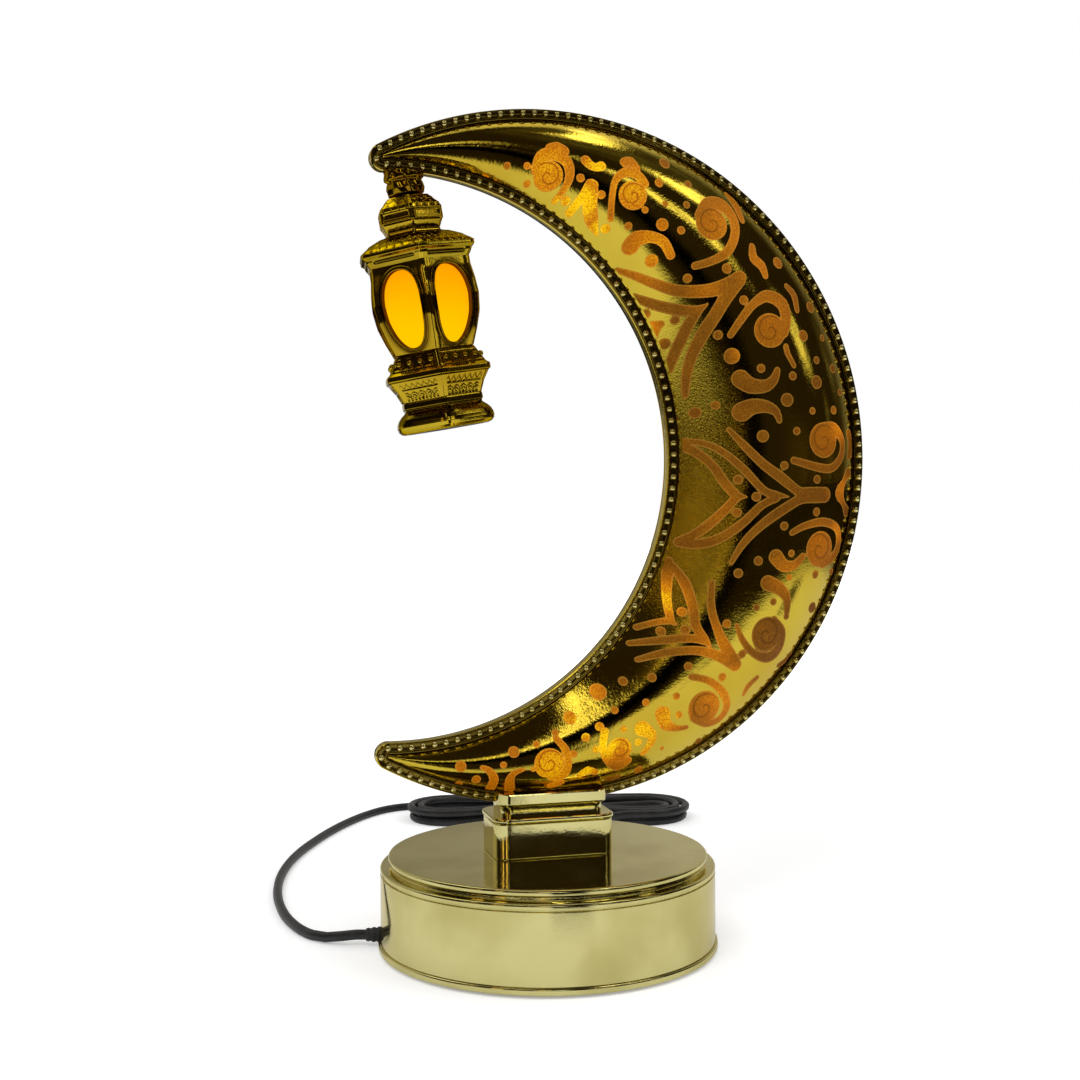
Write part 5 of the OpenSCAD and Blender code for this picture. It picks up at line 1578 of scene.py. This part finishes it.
corners = [(x * FLOOR_HALF, y * FLOOR_HALF, 0) for x, y in ((-1, -1), (1, -1), (1, 1), (-1, 1))]
floor_mesh.from_pydata(corners, [], [(0, 1, 2, 3)])
floor_mesh.materials.append(floor_finish)
floor = bpy.data.objects.new("floor", floor_mesh)
scene.collection.objects.link(floor)

# %% [markdown]
# The camera sees a white background, and matt parts get an even grey light. Glossy rays get
# a dim brown room instead: some lamps above, a pale backdrop and a dark shape in front. A
# picture of a room could stand there, but soft panels can be moved one by one until each
# reflection lies where it should.

# %% World
world = bpy.data.worlds.new("studio")
scene.world = world
world.use_nodes = True
world.node_tree.nodes.clear()
bench = Bench(world.node_tree)
direction = bench.place("Generated")
east, north, height = bench.split(direction)
turned = heading_of(east, north)
raised = height.math("ARCSINE") * (180 / math.pi)
clutter = bench.grain(14, 4, place=direction).ease(0.4, 0.6)


def panels(table):
    """The sum of soft-edged panels, each an azimuth range, an elevation range and a level."""
    total = 0.0
    for az, az_soft, el, el_soft, level in table:
        total = turned.within(*az, az_soft) * raised.within(*el, el_soft) * level + total
    return total

# %% [markdown]
# Each row is one panel, which a highlight in the photograph asked for. The long tube is a
# band along a slanted great circle. Behind the lamp stands the pale backdrop, and a dark
# shape stands in front.

# %% Room
lights = panels([
    ((44, 112), 8, (63, 70), 2, 3.2), ((46, 72), 5, (41, 49), 2, 2.6), ((12, 32), 4, (20, 26), 1.5, 1.6),
    ((-6, 2), 2, (18, 27), 2, 0.6), ((56, 67), 2, (14, 24), 2, 1.0), ((18, 118), 12, (46, 80), 8, 0.06),
    ((92, 98), 2, (10, 20), 4, 0.1), ((76, 79), 1, (-8, 10), 3, 0.12), ((-152, -112), 4, (46, 66), 3, 1.1),
])
tube = (east * 0.883 + north * 0.074 + height * 0.463).math("ABSOLUTE")
tube = (1 - tube.ease(0.02, 0.05)) * turned.within(-70, -1, 2) * raised.within(16, 63, 3) * 2.6
walls = panels([
    ((-52, -45), 1.5, (9, 22), 2, 2.2), ((-72, -63), 2, (16, 26), 2, 1.2), ((-22, -14), 2, (8, 16), 2, 1.8),
    ((-68, -16), 5, (7, 26), 4, 0.09), ((28, 118), 8, (-6, 4), 3, 0.03),
]) * (0.15 + 1.1 * clutter) + 0.022
away = turned.math("ABSOLUTE").ease(96, 124)
low = 1 - raised.ease(4, 9)
disc = (1 - low) * (0.28 + 0.18 * (1 - turned.math("ABSOLUTE").ease(158, 170)))
lights = lights * (0.3 + clutter) + tube * (0.6 + 0.5 * clutter)
lights = lights + away * (low * 0.58 + disc) + away * raised.within(54, 84, 6) * 0.4
shade = turned.within(-12, 8, 3) * (1 - raised.ease(9, 17))
lights, walls = lights * (1 - shade), walls * (1 - shade)
tints = {0: bench.scaled((1.0, 0.97, 0.88), lights), 1: bench.scaled((1.0, 0.70, 0.32), walls)}
room = bench.add("ShaderNodeVectorMath", {"operation": "ADD"}, tints)
shown = bench.ray("Camera").math("MAXIMUM", bench.ray("Transmission"))
colour = bench.blend(shown, (0.62, 0.62, 0.62), (1.0, 1.0, 1.0))
colour = bench.blend(bench.ray("Glossy") * (1 - shown), colour, room)
sky = bench.add("ShaderNodeBackground", (), {"Color": colour, "Strength": 1.0})
bench.add("ShaderNodeOutputWorld", (), {"Surface": sky})

# %% [markdown]
# Two soft area lamps light the matt parts and cast the shadow. They are hidden from
# reflections, where they would show as squares.

# %% Lamps
def soft_lamp(name, place, aim, size, power):
    data = bpy.data.lights.new(name, "AREA")
    data.shape = "SQUARE"
    data.size = size
    data.energy = power
    obj = bpy.data.objects.new(name, data)
    scene.collection.objects.link(obj)
    way = Vector(aim) - Vector(place)
    obj.matrix_world = Matrix.Translation(Vector(place)) @ way.to_track_quat("-Z", "Y").to_matrix().to_4x4()
    obj.visible_glossy = False


soft_lamp("key", (-0.7, -0.9, 1.3), (0, 0, 0.1), 0.9, 9)
soft_lamp("fill", (0.9, -0.5, 0.9), (0, 0, 0.12), 1.0, 4)
scene.view_settings.view_transform = "Standard"
